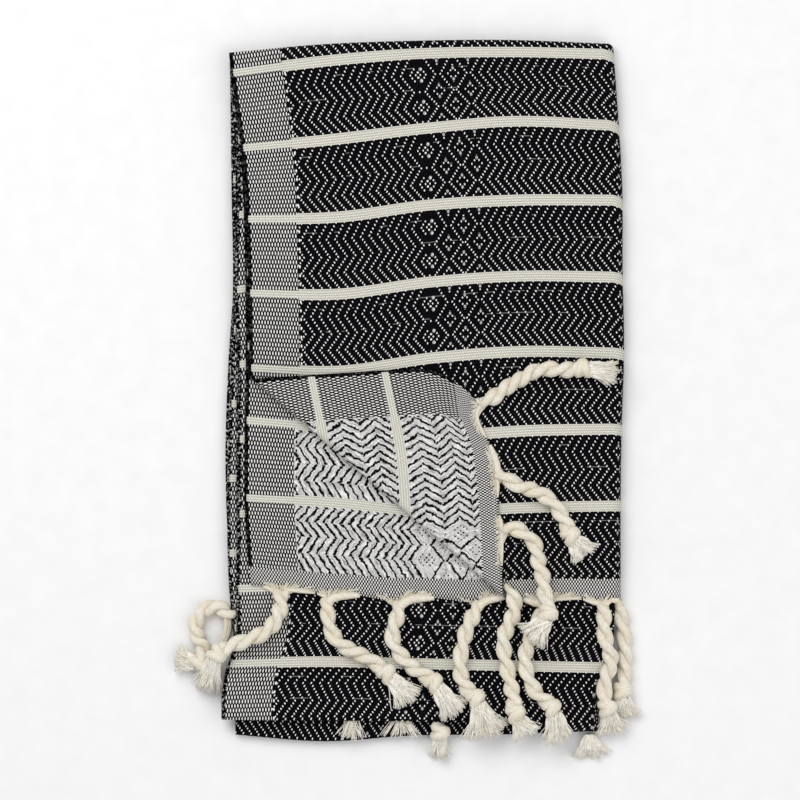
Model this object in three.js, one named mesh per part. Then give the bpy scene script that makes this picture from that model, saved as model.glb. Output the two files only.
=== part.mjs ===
import * as THREE from "three";

// A woven cotton hand towel with knotted tassels, folded and laid flat.
// The cloth is folded crosswise in half, crosswise again so that both hems lie on top, and then
// lengthwise with its right half underneath. One corner of the top layer is turned back.
// Millimetres, +Z up. X runs across the folded towel and Y along it; the surface it lies on is Z = 0.
// "Across" on the cloth is measured from the selvedge that shows, and "along" from the top layer's hem.

// ---------------------------------------------------------------- the cloth, laid out flat
// It is 388 wide and 1219 long, which the edges, folds and hems below add up to.
const THICKNESS = 1.0;
const FIRST_STRIPE = 47; // from a hem's edge to the stripe nearest to it
const STRIPE_STEP = 37.5;
const alongOf = (stripe) => FIRST_STRIPE + stripe * STRIPE_STEP;

// ---------------------------------------------------------------- the pile of layers
const LAYER_STEP = 1.4; // from one layer's middle to the next one's
const SPINE_ACROSS = 188.8; // where the lengthwise fold lies on the cloth
const WIDE_TURN = 1.5 * LAYER_STEP; // radius of the outer fold at the top
const TIGHT_TURN = 0.5 * LAYER_STEP; // radius of the folds that it holds
const INNER_DROP = 2.4; // the inner fold at the top lies this far inside the outer one
const UNDERSIDE_DROP = 1.5; // and the half underneath this far behind the upper one
// Which layer of a half each run of the cloth is, counted out from the lengthwise fold's axis.
const RUN_LAYER = [4, 1, 2, 3];
const LAYERS_IN_HALF = 4;

// The line about which the right half turns under: its place across, down the length of the pile.
const SPINE_LINE = [
  { y: 178, x: 101.4 },
  { y: 145, x: 103.8 },
  { y: 105, x: 106.0 },
  { y: 65, x: 106.2 },
  { y: 25, x: 107.0 },
  { y: -15, x: 105.8 },
  { y: -55, x: 105.2 },
  { y: -100, x: 105.0 },
  { y: -122, x: 104.0 },
  { y: -133, x: 100.5 },
  { y: -146, x: 97.6 },
  { y: -168, x: 96.4 },
];
// Where each layer's selvedge lies across, down the length of the pile. The layers are counted from
// the top, so the fifth to the eighth are the half underneath.
const LEFT_EDGE = [
  { y: 174, first: -85.7, second: -85.5, third: -85.4, fourth: -85.6,
    fifth: -85.4, sixth: -85.0, seventh: -84.8, eighth: -84.8 },
  { y: 150, first: -82.6, second: -82.4, third: -83.0, fourth: -84.0,
    fifth: -85.0, sixth: -84.2, seventh: -84.0, eighth: -84.0 },
  { y: 128, first: -79.6, second: -80.2, third: -81.8, fourth: -83.0,
    fifth: -84.7, sixth: -84.0, seventh: -83.6, eighth: -83.6 },
  { y: 102, first: -77.4, second: -78.5, third: -81.3, fourth: -82.3,
    fifth: -84.4, sixth: -83.8, seventh: -83.4, eighth: -83.4 },
  { y: 62, first: -76.1, second: -77.4, third: -82.7, fourth: -82.8,
    fifth: -83.7, sixth: -83.4, seventh: -82.9, eighth: -82.9 },
  { y: 20, first: -75.4, second: -77.2, third: -81.3, fourth: -82.0,
    fifth: -84.6, sixth: -86.0, seventh: -84.0, eighth: -84.0 },
  { y: -20, first: -75.6, second: -77.8, third: -81.2, fourth: -82.0,
    fifth: -86.0, sixth: -87.5, seventh: -85.0, eighth: -85.0 },
  { y: -50, first: -75.8, second: -77.8, third: -81.2, fourth: -82.0,
    fifth: -86.6, sixth: -87.2, seventh: -85.0, eighth: -85.0 },
  { y: -77, first: -75.8, second: -76.3, third: -81.5, fourth: -82.0,
    fifth: -86.4, sixth: -86.0, seventh: -84.6, eighth: -84.8 },
  { y: -95, first: -76.0, second: -74.8, third: -81.9, fourth: -82.3,
    fifth: -85.6, sixth: -85.4, seventh: -84.6, eighth: -84.8 },
  { y: -114, first: -76.0, second: -74.8, third: -81.5, fourth: -82.0,
    fifth: -83.8, sixth: -83.6, seventh: -84.2, eighth: -84.4 },
  { y: -127, first: -76.0, second: -74.8, third: -84.0, fourth: -84.4,
    fifth: -83.0, sixth: -83.0, seventh: -84.0, eighth: -84.2 },
  { y: -136, first: -76.0, second: -74.8, third: -87.2, fourth: -87.5,
    fifth: -82.7, sixth: -82.7, seventh: -84.0, eighth: -84.2 },
  { y: -148, first: -76.0, second: -74.8, third: -89.2, fourth: -89.4,
    fifth: -82.5, sixth: -82.5, seventh: -84.0, eighth: -84.2 },
];
const EDGE_ORDER = {
  upper: ["fourth", "third", "second", "first"],
  under: ["fifth", "sixth", "seventh", "eighth"],
};

// Lines across the pile, each with its Y at five places from the selvedge to the lengthwise fold.
const PLACES = ["selvedge", "quarter", "middle", "outer", "spine"];
const TOP_FOLD = { selvedge: 173.4, quarter: 177.6, middle: 179.4, outer: 179.8, spine: 178 };
const BOTTOM_FOLD = {
  upper: { selvedge: -159.5, quarter: -160, middle: -160.3, outer: -161.5, spine: -165.5 },
  under: { selvedge: -167.3, quarter: -170.6, middle: -167.7, outer: -167.2, spine: -165.5 },
};
const TOP_LAYER = [
  { along: 0, selvedge: -106, quarter: -106, middle: -103, outer: -99.5, spine: -99 },
  { along: alongOf(0), selvedge: -59, quarter: -60, middle: -57, outer: -54, spine: -53 },
  { along: alongOf(1), selvedge: -21.5, quarter: -22.5, middle: -19, outer: -15.5, spine: -14.5 },
  { along: alongOf(2), selvedge: 16, quarter: 14.5, middle: 21, outer: 24.3, spine: 23.5 },
  { along: alongOf(3), selvedge: 53.5, quarter: 53, middle: 59, outer: 62, spine: 61.5 },
  { along: alongOf(4), selvedge: 90.5, quarter: 91.5, middle: 97.5, outer: 100, spine: 100 },
  { along: alongOf(5), selvedge: 126, quarter: 130.3, middle: 135.8, outer: 139.5, spine: 137.5 },
  { along: alongOf(6), selvedge: 163.5, quarter: 169.5, middle: 173.2, outer: 174, spine: 173 },
];
const FAR_HEM = { selvedge: -92.5, quarter: -96.5, middle: -98.3, outer: -98.3, spine: -99 };
// Both hems of the half underneath.
const UNDER_HEM = { selvedge: -114, quarter: -110.5, middle: -106.5, outer: -102, spine: -99 };

// Long, low swells that run through every layer, and the rise where the upper half lies over tassels.
const SWELL = [
  { height: 0.3, overX: 33, overY: 58, shift: 0.6 },
  { height: 0.22, overX: -52, overY: 36, shift: 2.1 },
];
const RISE = { height: 3.0, fromY: -132, toY: -157, fromX: 92, toX: 66 };

// ---------------------------------------------------------------- the corner that is turned back
const CREASE_TOP = new THREE.Vector2(-74, 11);
const CREASE_FOOT = new THREE.Vector2(48.5, -95);
const ROLL = 3.0; // radius of the soft roll along the crease
const FLAP_REST = 2.0; // the flap's height above the top layer where it has settled
const FLAP_SETTLE = 30; // reached this far from the crease
const FLAP_DEPTH = 82.4; // from the crease to the corner
const FLAP_LEAN = new THREE.Vector2(-1.9, -9.3); // how far the flap's corner is pulled from a plain turn
const HEM_BULGE = 2.0;
const CORNER_DRAW = { x: 0.5, y: -17.5, reachAcross: 60, reachAlong: 32 }; // the tassel drags the corner

// ---------------------------------------------------------------- the tassels
const CORD = 3.4; // radius of the twisted cord
const KNOT = 5.1; // radius of the knot
const ROOT = 1.2; // the gathered strands where they leave the hem
const TUFT = { width: 5.6, height: 2.6 }; // half sizes at the loose end
const REST_GAP = 0.7; // between a tassel and what it lies on
const SIDES = 8;

// ---------------------------------------------------------------- smooth curves through tables
const clamp01 = (value) => Math.min(1, Math.max(0, value));
const ease = (value) => {
  const v = clamp01(value);
  return v * v * (3 - 2 * v);
};
const mix = (a, b, share) => a + (b - a) * share;

// A smooth curve through the points (xs, ys), held level beyond its ends. xs may rise or fall.
function curveThrough(xs, ys, x) {
  const last = xs.length - 1;
  const sign = xs[last] > xs[0] ? 1 : -1;
  let i = 0;
  while (i < last - 1 && sign * x > sign * xs[i + 1]) i += 1;
  const span = xs[i + 1] - xs[i];
  const u = clamp01((x - xs[i]) / span);
  const slope = (j) => {
    const lo = Math.max(0, j - 1);
    const hi = Math.min(last, j + 1);
    return (ys[hi] - ys[lo]) / (xs[hi] - xs[lo]);
  };
  const start = slope(i) * span;
  const end = slope(i + 1) * span;
  const rise = ys[i + 1] - ys[i];
  return ys[i] + u * (start + u * (3 * rise - 2 * start - end + u * (start + end - 2 * rise)));
}

const column = (rows, key) => rows.map((row) => row[key]);
const downTable = (rows, key, y) => curveThrough(column(rows, "y"), column(rows, key), y);
const PLACE_AT = PLACES.map((_, i) => i / (PLACES.length - 1));
const across = (line, f) => curveThrough(PLACE_AT, PLACES.map((place) => line[place]), f);

// ---------------------------------------------------------------- heights
function swell(x, y) {
  return SWELL.reduce((sum, w) => sum + w.height * Math.sin(x / w.overX + y / w.overY + w.shift), 0);
}

function rise(x, y) {
  const inY = ease((y - RISE.fromY) / (RISE.toY - RISE.fromY));
  const inX = ease((x - RISE.fromX) / (RISE.toX - RISE.fromX));
  return RISE.height * inY * inX;
}

// The middle of layer number n of the pile, counted from 0 at the bottom; n may lie between layers.
function heightOf(n, x, y) {
  const top = 2 * LAYERS_IN_HALF - 1;
  const lifted = n > LAYERS_IN_HALF - 0.5 ? rise(x, y) * clamp01(n - LAYERS_IN_HALF + 1) : 0;
  return THICKNESS / 2 + n * LAYER_STEP + (swell(x, y) * n) / top + lifted;
}

// The top of a pile of so many layers.
const topOf = (layers, x, y) => (layers > 0 ? heightOf(layers - 1, x, y) + THICKNESS / 2 : 0);

// ---------------------------------------------------------------- the cloth's course along its length
// The cloth runs from the near hem to the top fold, down to the bottom fold, up to the inner fold and
// down to the far hem. At the share f of the way from the selvedge (0) to the lengthwise fold (1),
// each straight run has a Y to start from and one to end at, and each turn a Y to turn about.
const TURNS = [
  { radius: WIDE_TURN, bulge: 1, steps: 6 },
  { radius: TIGHT_TURN, bulge: -1, steps: 4 },
  { radius: TIGHT_TURN, bulge: 1, steps: 4 },
];

function course(half, f) {
  const under = half === "under";
  const top = across(TOP_FOLD, f) - (under ? UNDERSIDE_DROP * (1 - f) : 0);
  return {
    nearHem: across(under ? UNDER_HEM : TOP_LAYER[0], f),
    turns: [top - WIDE_TURN, across(BOTTOM_FOLD[half], f) + TIGHT_TURN, top - INNER_DROP - TIGHT_TURN],
    farHem: across(under ? UNDER_HEM : FAR_HEM, f),
  };
}

// A row of the cloth at share f: its Y, and its layer within the half.
function rowAt(row, half, f, startY) {
  const { nearHem, turns, farHem } = course(half, f);
  if (row.turn === undefined) {
    const ends = [startY ?? nearHem, ...turns, farHem];
    return { y: mix(ends[row.run], ends[row.run + 1], row.share), layer: RUN_LAYER[row.run] };
  }
  const { radius, bulge } = TURNS[row.turn];
  const angle = Math.PI * row.share;
  const before = RUN_LAYER[row.turn];
  const after = RUN_LAYER[row.turn + 1];
  return {
    y: turns[row.turn] + bulge * radius * Math.sin(angle),
    layer: (before + after) / 2 + ((before - after) / 2) * Math.cos(angle),
  };
}

const turnRadius = (layer) => (layer - 0.5) * LAYER_STEP;
const levelOf = (half, layer) => (half === "under" ? LAYERS_IN_HALF - layer : LAYERS_IN_HALF - 1 + layer);

// A point of a flat half: share is 0 at the selvedge and 1 where the lengthwise fold starts.
function onHalf(half, share, y, layer) {
  const below = Math.floor(layer - 1);
  const order = EDGE_ORDER[half];
  const inner = downTable(LEFT_EDGE, order[below], y);
  const outer = downTable(LEFT_EDGE, order[Math.min(below + 1, LAYERS_IN_HALF - 1)], y);
  const x = mix(mix(inner, outer, layer - 1 - below), downTable(SPINE_LINE, "x", y), share);
  return new THREE.Vector3(x, y, heightOf(levelOf(half, layer), x, y));
}

// ---------------------------------------------------------------- the turned-back corner
const creaseRun = CREASE_FOOT.clone().sub(CREASE_TOP);
const creaseLength = creaseRun.length();
const creaseDir = creaseRun.clone().normalize();
const creaseOut = new THREE.Vector2(creaseDir.y, -creaseDir.x); // towards the corner that turned back

// How far a flat point lies beyond the line where the roll starts.
function beyondCrease(x, y) {
  return new THREE.Vector2(x, y).sub(CREASE_TOP).dot(creaseOut) + ROLL;
}

function turnBack(point, acrossCloth, alongCloth) {
  const beyond = beyondCrease(point.x, point.y);
  if (beyond <= 0) return point;
  const alongCrease = new THREE.Vector2(point.x, point.y).sub(CREASE_TOP).dot(creaseDir);
  const angle = Math.min(beyond / ROLL, Math.PI);
  const past = Math.max(0, beyond - Math.PI * ROLL);
  const outward = ROLL * Math.sin(angle) - past - ROLL;
  const depth = past / FLAP_DEPTH;
  const flat = CREASE_TOP.clone().addScaledVector(creaseDir, alongCrease).addScaledVector(creaseOut, outward);
  flat.addScaledVector(FLAP_LEAN, depth);
  flat.x += HEM_BULGE * Math.sin(Math.PI * clamp01(depth)) * (alongCrease / creaseLength);
  const fromCorner = Math.hypot(acrossCloth / CORNER_DRAW.reachAcross, alongCloth / CORNER_DRAW.reachAlong);
  const drawn = clamp01(1 - fromCorner) ** 2;
  flat.x += CORNER_DRAW.x * drawn;
  flat.y += CORNER_DRAW.y * drawn;
  const settled = FLAP_REST + (2 * ROLL - FLAP_REST) * ease(1 - past / FLAP_SETTLE);
  const lift = past > 0 ? settled : ROLL * (1 - Math.cos(angle));
  return new THREE.Vector3(flat.x, flat.y, heightOf(2 * LAYERS_IN_HALF - 1, flat.x, flat.y) + lift);
}

// ---------------------------------------------------------------- the cloth's middle surface
const flatShareOf = (acrossCloth) => acrossCloth / (SPINE_ACROSS - (Math.PI / 2) * turnRadius(RUN_LAYER[0]));

// A point of the top layer's upper half, before its corner is turned back.
function onTopLayer(acrossCloth, alongCloth) {
  const share = flatShareOf(acrossCloth);
  const ys = TOP_LAYER.map((line) => across(line, share));
  const y = curveThrough(column(TOP_LAYER, "along"), ys, alongCloth);
  return onHalf("upper", share, y, RUN_LAYER[0]);
}

function bisect(isPast, low, high) {
  let [near, far] = [low, high];
  for (let i = 0; i < 40; i += 1) {
    const middle = (near + far) / 2;
    if (isPast(middle)) far = middle;
    else near = middle;
  }
  return (near + far) / 2;
}

const isKept = (acrossCloth, alongCloth) => {
  const p = onTopLayer(acrossCloth, alongCloth);
  return beyondCrease(p.x, p.y) <= 0;
};
// Where the crease meets the hem, across the cloth, and where it lies along the cloth before that.
const creaseEnd = bisect((s) => isKept(s, 0), 60, 160);
const creaseAlong = (s) => (s >= creaseEnd ? 0 : bisect((t) => isKept(s, t), 0, 200));

const CREASE_COLUMNS = 8;
const KEPT_COLUMNS = 3;
const TURN_COLUMNS = 6;
const UNDER_COLUMNS = 6;
const columns = [];
for (let i = 0; i <= CREASE_COLUMNS; i += 1) {
  columns.push({ half: "upper", share: flatShareOf((creaseEnd * i) / CREASE_COLUMNS) });
}
const creaseShare = flatShareOf(creaseEnd);
for (let i = 1; i <= KEPT_COLUMNS; i += 1) {
  columns.push({ half: "upper", share: mix(creaseShare, 1, i / KEPT_COLUMNS) });
}
for (let i = 1; i < TURN_COLUMNS; i += 1) columns.push({ half: "spine", share: i / TURN_COLUMNS });
for (let i = 0; i <= UNDER_COLUMNS; i += 1) columns.push({ half: "under", share: 1 - i / UNDER_COLUMNS });

// The rows of each straight run, as shares of its way from the top fold down. They lie closest where
// the cloth bends most, and at the same places in layers that touch.
const SHORT_RUN = [0, 0.03, 0.08, 0.15, 0.25, 0.37, 0.5, 0.63, 0.76, 0.88, 1];
const LONG_RUN = [0, 0.02, 0.06, 0.12, 0.2, 0.32, 0.46, 0.6, 0.72, 0.8, 0.84, 0.88, 0.91, 0.94, 0.97, 1];
const upwards = (shares) => shares.map((share) => 1 - share).reverse();
const RUN_ROWS = [upwards(SHORT_RUN), LONG_RUN, upwards(LONG_RUN), SHORT_RUN];
const rows = [];
RUN_ROWS.forEach((shares, run) => {
  shares.forEach((share) => rows.push({ run, share }));
  if (run === TURNS.length) return;
  const { steps } = TURNS[run];
  for (let i = 1; i < steps; i += 1) rows.push({ turn: run, share: i / steps });
});

function gridPoint(row, col) {
  if (col.half !== "spine") {
    const cut = row.run === 0 && col.half === "upper" && col.share < creaseShare - 1e-9;
    const acrossCloth = col.share / flatShareOf(1);
    const startY = cut ? onTopLayer(acrossCloth, creaseAlong(acrossCloth)).y : undefined;
    const at = rowAt(row, col.half, col.share, startY);
    return onHalf(col.half, col.share, at.y, at.layer);
  }
  const upper = rowAt(row, "upper", 1);
  const under = rowAt(row, "under", 1);
  const a = onHalf("upper", 1, upper.y, upper.layer);
  const b = onHalf("under", 1, under.y, under.layer);
  const angle = Math.PI * col.share;
  const middle = a.clone().add(b).multiplyScalar(0.5);
  const half = a.clone().sub(b).multiplyScalar(0.5);
  const point = middle.addScaledVector(half, Math.cos(angle));
  point.x += half.length() * Math.sin(angle);
  return point;
}

const vertices = [];
const faces = [];
const addVertex = (point) => vertices.push(point) - 1;
const grid = rows.map((row) => columns.map((col) => addVertex(gridPoint(row, col))));
for (let r = 0; r < rows.length - 1; r += 1) {
  for (let c = 0; c < columns.length - 1; c += 1) {
    const [a, b, d, e] = [grid[r][c], grid[r][c + 1], grid[r + 1][c + 1], grid[r + 1][c]];
    faces.push([a, b, d], [a, d, e]);
  }
}

// The corner that turns back: lines side by side with the crease, closing on the cloth's corner.
const cornerPoint = onTopLayer(0, 0);
const cornerBeyond = beyondCrease(cornerPoint.x, cornerPoint.y);
const ROLL_STEPS = 6;
const FLAP_LINES = [6, 15, 26, 39, 51, 61, 69, 76];
const flapLines = [];
for (let i = 1; i <= ROLL_STEPS; i += 1) flapLines.push((Math.PI * ROLL * i) / ROLL_STEPS);
FLAP_LINES.forEach((distance) => flapLines.push(Math.PI * ROLL + distance));
let line = grid[0].slice(0, CREASE_COLUMNS + 1);
flapLines.forEach((distance) => {
  const keep = 1 - distance / cornerBeyond;
  const next = line.map((_, i) => {
    const s = (creaseEnd * i) / CREASE_COLUMNS;
    const t = creaseAlong(s);
    return addVertex(turnBack(onTopLayer(s * keep, t * keep), s * keep, t * keep));
  });
  for (let i = 0; i < CREASE_COLUMNS; i += 1) {
    faces.push([line[i], next[i], next[i + 1]], [line[i], next[i + 1], line[i + 1]]);
  }
  line = next;
});
const tip = addVertex(turnBack(cornerPoint, 0, 0));
for (let i = 0; i < CREASE_COLUMNS; i += 1) faces.push([line[i], tip, line[i + 1]]);

// ---------------------------------------------------------------- from a middle surface to cloth
function geometryOf(points, triangles) {
  const geometry = new THREE.BufferGeometry();
  const flat = points.flatMap((p) => [p.x, p.y, p.z]);
  geometry.setAttribute("position", new THREE.Float32BufferAttribute(flat, 3));
  geometry.setIndex(triangles.flat());
  geometry.computeVertexNormals();
  return geometry;
}

// Both faces of the sheet, half its thickness either side, closed along its free edges.
function thicken(points, triangles, thickness) {
  const normals = points.map(() => new THREE.Vector3());
  const edges = new Map();
  triangles.forEach((triangle) => {
    const [a, b, c] = triangle.map((i) => points[i]);
    const normal = b.clone().sub(a).cross(c.clone().sub(a));
    triangle.forEach((i) => normals[i].add(normal));
    triangle.forEach((from, k) => {
      const to = triangle[(k + 1) % 3];
      if (!edges.delete(`${to},${from}`)) edges.set(`${from},${to}`, [from, to]);
    });
  });
  normals.forEach((normal) => normal.normalize().multiplyScalar(thickness / 2));
  const count = points.length;
  const front = points.map((p, i) => p.clone().add(normals[i]));
  const back = points.map((p, i) => p.clone().sub(normals[i]));
  const closed = triangles.flatMap(([a, b, c]) => [[a, b, c], [count + a, count + c, count + b]]);
  edges.forEach(([from, to]) => {
    closed.push([from, count + from, count + to], [from, count + to, to]);
  });
  return geometryOf([...front, ...back], closed);
}

// ---------------------------------------------------------------- one tassel
// Its way from the hem: x and y, with how many layers it lies over and any lift above them, or with
// the height of its middle where it hangs over an edge. The last two places are the knot's middle
// and the end of the tuft.
const TASSELS = [
  {
    name: "tassel_flap_corner",
    way: [
      { x: 40.2, y: -1.6, over: 8 },
      { x: 45, y: 0.2, over: 8 },
      { x: 50.5, y: 4.2, over: 8 },
      { x: 56, y: 8, over: 8 },
      { x: 61.5, y: 11, over: 8 },
      { x: 67.5, y: 14.5, over: 8 },
      { x: 75, y: 15.5, over: 8 },
      { x: 83, y: 15, over: 8 },
      { x: 91, y: 16, over: 8 },
      { x: 108.5, y: 13.5, over: 8 },
    ],
  },
  {
    name: "tassel_flap_upper",
    way: [
      { x: 48.6, y: -36.8, over: 8 },
      { x: 53.5, y: -39.5, over: 8 },
      { x: 59.5, y: -43, over: 8 },
      { x: 66, y: -45, over: 8 },
      { x: 72.5, y: -48, over: 8 },
      { x: 77.5, y: -52.5, over: 8 },
      { x: 81.5, y: -59, over: 8 },
      { x: 85.5, y: -67.5, over: 8 },
      { x: 93, y: -77.5, over: 8 },
    ],
  },
  {
    name: "tassel_flap_lower",
    way: [
      { x: 51.3, y: -65.2, over: 8 },
      { x: 55.5, y: -63.8, over: 8 },
      { x: 62, y: -66.5, over: 8 },
      { x: 67.5, y: -72.5, over: 8 },
      { x: 69, y: -80, over: 8 },
      { x: 71, y: -87.5, over: 8 },
      { x: 72.3, y: -97, over: 8, lift: 1.5 },
      { x: 74.5, y: -106.5, over: 6, lift: 7.5 },
      { x: 66.8, y: -122.5, over: 6, lift: 8 },
    ],
  },
  {
    name: "tassel_flap_foot",
    way: [
      { x: 52.4, y: -92.2, over: 8 },
      { x: 56, y: -97.5, over: 8, lift: 0.3 },
      { x: 58, y: -104, over: 7 },
      { x: 55, y: -111, over: 6 },
      { x: 52, y: -119, over: 6 },
      { x: 52.2, y: -127, over: 6 },
      { x: 54, y: -136, over: 6 },
      { x: 56, y: -146, over: 6 },
      { x: 58, y: -156.5, over: 6 },
      { x: 64.5, y: -168.5, over: 5 },
    ],
  },
  {
    name: "tassel_front_inner",
    way: [
      { x: 72.4, y: -100.6, over: 6 },
      { x: 70, y: -108.5, over: 6 },
      { x: 67, y: -115.5, over: 6 },
      { x: 63.5, y: -123.5, over: 6 },
      { x: 62.6, y: -131, over: 6 },
      { x: 65, y: -141, over: 6 },
      { x: 69.5, y: -148, over: 6 },
      { x: 75.8, y: -153.2, over: 6 },
      { x: 79.5, y: -171, over: 5 },
    ],
  },
  {
    name: "tassel_front_edge",
    way: [
      { x: 101.2, y: -100.6, over: 6 },
      { x: 102, y: -108, z: 12.3 },
      { x: 102, y: -116, z: 12.5 },
      { x: 104.4, y: -125, z: 12.1 },
      { x: 105.8, y: -131, z: 10.7 },
      { x: 103.2, y: -138, z: 11.2 },
      { x: 102.2, y: -145, z: 11.3 },
      { x: 104, y: -154.3, z: 11.2 },
      { x: 106.5, y: -167, z: 5.5 },
    ],
  },
  {
    name: "tassel_side_edge",
    way: [
      { x: 109.2, y: -100.6, z: 4 },
      { x: 110.8, y: -109, z: 4.2 },
      { x: 112.2, y: -118, over: 0 },
      { x: 112.8, y: -127, over: 0 },
      { x: 112.4, y: -136, over: 0 },
      { x: 111.4, y: -145.5, over: 0 },
      { x: 113.2, y: -160, over: 0 },
    ],
  },
  {
    name: "tassel_back_first",
    way: [
      { x: -59.6, y: -95.4, over: 6 },
      { x: -60.2, y: -106, over: 6 },
      { x: -64, y: -113, over: 6 },
      { x: -70, y: -117.5, over: 6 },
      { x: -77, y: -120.3, over: 6 },
      { x: -83.5, y: -122.6, over: 6 },
      { x: -91.3, y: -127.2, z: 13.8 },
      { x: -97.5, y: -145.5, z: 4.5 },
    ],
  },
  {
    name: "tassel_loop",
    way: [
      { x: -84.9, y: -116.4, z: 1.5 },
      { x: -88.4, y: -112.5, over: 0 },
      { x: -88.8, y: -107, over: 0 },
      { x: -93, y: -103.6, over: 0 },
      { x: -98.5, y: -105.5, over: 0 },
      { x: -102, y: -111, over: 0 },
      { x: -102, y: -117.5, over: 0 },
      { x: -98.5, y: -122.8, over: 0 },
      { x: -100.5, y: -131.5, over: 0 },
      { x: -112.5, y: -129, over: 0 },
    ],
  },
  {
    name: "tassel_back_second",
    way: [
      { x: -38.4, y: -97.1, over: 6 },
      { x: -36, y: -108, over: 6 },
      { x: -34.6, y: -115.5, over: 6 },
      { x: -29.5, y: -122, over: 6 },
      { x: -23, y: -125.8, over: 6 },
      { x: -15, y: -129.8, over: 6 },
      { x: -6.5, y: -136.5, over: 6 },
      { x: 5.5, y: -151.5, over: 6 },
    ],
  },
  {
    name: "tassel_back_third",
    way: [
      { x: -0.4, y: -98.8, over: 6 },
      { x: -1.4, y: -108, over: 6 },
      { x: -3.6, y: -114.5, over: 6 },
      { x: -3.2, y: -121.5, over: 6 },
      { x: 0.6, y: -128, over: 6 },
      { x: 8, y: -135, over: 6 },
      { x: 17, y: -141, over: 6 },
      { x: 27.5, y: -158, over: 6 },
    ],
  },
  {
    name: "tassel_back_fourth",
    way: [
      { x: 40.6, y: -99.2, over: 6 },
      { x: 36.4, y: -108, over: 6 },
      { x: 33, y: -116, over: 6 },
      { x: 31, y: -124, over: 6 },
      { x: 30, y: -133, over: 6 },
      { x: 32, y: -142.5, over: 6 },
      { x: 38.2, y: -149, over: 6 },
      { x: 43.5, y: -168.5, over: 5 },
    ],
  },
];

// Tassels of the hidden hems that show only as they come out from under a fold's edge.
const HIDDEN_TASSELS = [
  {
    name: "tassel_under_first",
    way: [
      { x: -24.5, y: -155.5, z: 6.8, width: 4, height: 0.8 },
      { x: -24.5, y: -162.5, z: 6.9, width: 5.5, height: 0.9 },
      { x: -24.5, y: -170.5, z: 7.2, width: 6, height: 1.2 },
    ],
  },
  {
    name: "tassel_under_second",
    way: [
      { x: 0, y: -155.5, z: 6.8, width: 3, height: 0.8 },
      { x: 0, y: -162.5, z: 6.9, width: 7, height: 0.9 },
      { x: 0, y: -169, z: 7.2, width: 9.5, height: 1.2 },
    ],
  },
  {
    name: "tassel_under_third",
    way: [
      { x: 20, y: -155.5, z: 6.8, width: 3, height: 0.8 },
      { x: 20, y: -161.3, z: 6.9, width: 3.4, height: 0.9 },
      { x: 20.2, y: -163, z: 8.2, width: 4.5, height: 2.2 },
      { x: 20.2, y: -166.5, z: 9.2, width: 5, height: 3.2 },
      { x: 20, y: -170, z: 8, width: 4, height: 3 },
      { x: 19.6, y: -174, z: 4.5, width: 4.4, height: 2.8 },
      { x: 19.3, y: -180, z: 3.2, width: 5.2, height: 2.4 },
    ],
  },
  {
    name: "tassel_under_corner",
    way: [
      { x: 95, y: -167.6, z: 3, width: 4.5, height: 2 },
      { x: 95.5, y: -172.5, z: 3.2, width: 6.5, height: 2.4 },
      { x: 96.3, y: -179.5, z: 2.8, width: 9.5, height: 2 },
    ],
  },
];

// A closed solid with an oval section at each station, width and height being half sizes.
function loft(stations) {
  const points = [];
  const triangles = [];
  stations.forEach(({ point, ahead, width, height }) => {
    const side = new THREE.Vector3(0, 0, 1).cross(ahead).normalize();
    const up = ahead.clone().cross(side).normalize();
    for (let i = 0; i < SIDES; i += 1) {
      const angle = (2 * Math.PI * i) / SIDES;
      const corner = point.clone().addScaledVector(side, width * Math.cos(angle));
      points.push(corner.addScaledVector(up, height * Math.sin(angle)));
    }
  });
  for (let k = 0; k < stations.length - 1; k += 1) {
    for (let i = 0; i < SIDES; i += 1) {
      const j = (i + 1) % SIDES;
      const [a, b, c, d] = [k * SIDES + i, k * SIDES + j, (k + 1) * SIDES + j, (k + 1) * SIDES + i];
      triangles.push([a, b, c], [a, c, d]);
    }
  }
  const end = (stations.length - 1) * SIDES;
  for (let i = 1; i < SIDES - 1; i += 1) {
    triangles.push([0, i + 1, i], [end, end + i, end + i + 1]);
  }
  return geometryOf(points, triangles);
}

const CORD_STEP = 9;
const SAMPLES = 240;

// A cord that starts as thin strands at the hem, ends in a knot, and spreads into a flat tuft.
function tasselGeometry(way) {
  const knotIndex = way.length - 2;
  const radiusAt = (i) => {
    if (i === 0) return ROOT;
    if (i === knotIndex) return KNOT;
    return i > knotIndex ? TUFT.height : CORD;
  };
  const places = way.map(({ x, y, z, over, lift = 0 }, i) => {
    return new THREE.Vector3(x, y, z ?? topOf(over, x, y) + REST_GAP + lift + radiusAt(i));
  });
  const curve = new THREE.CatmullRomCurve3(places, false, "centripetal");
  curve.arcLengthDivisions = SAMPLES;
  const total = curve.getLength();
  const lengths = curve.getLengths(SAMPLES);
  const knotAt = lengths[Math.round((SAMPLES * knotIndex) / (way.length - 1))];
  const profile = [
    { at: 0, width: ROOT, height: ROOT },
    { at: 6, width: 2.6, height: 2.6 },
    { at: 12, width: CORD, height: CORD },
  ];
  const plain = Math.max(1, Math.round((knotAt - 7 - 12) / CORD_STEP));
  for (let i = 1; i <= plain; i += 1) {
    profile.push({ at: mix(12, knotAt - 7, i / plain), width: CORD, height: CORD });
  }
  profile.push(
    { at: knotAt - 3, width: KNOT, height: KNOT },
    { at: knotAt + 2.5, width: KNOT, height: KNOT * 0.94 },
    { at: knotAt + 6, width: CORD, height: CORD * 0.9 },
    { at: mix(knotAt + 6, total, 0.5), width: mix(CORD, TUFT.width, 0.7), height: TUFT.height },
    { at: total, width: TUFT.width, height: TUFT.height * 0.8 },
  );
  const stations = profile.map(({ at, width, height }) => {
    const share = at / total;
    return { point: curve.getPointAt(share), ahead: curve.getTangentAt(share), width, height };
  });
  return loft(stations);
}

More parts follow.
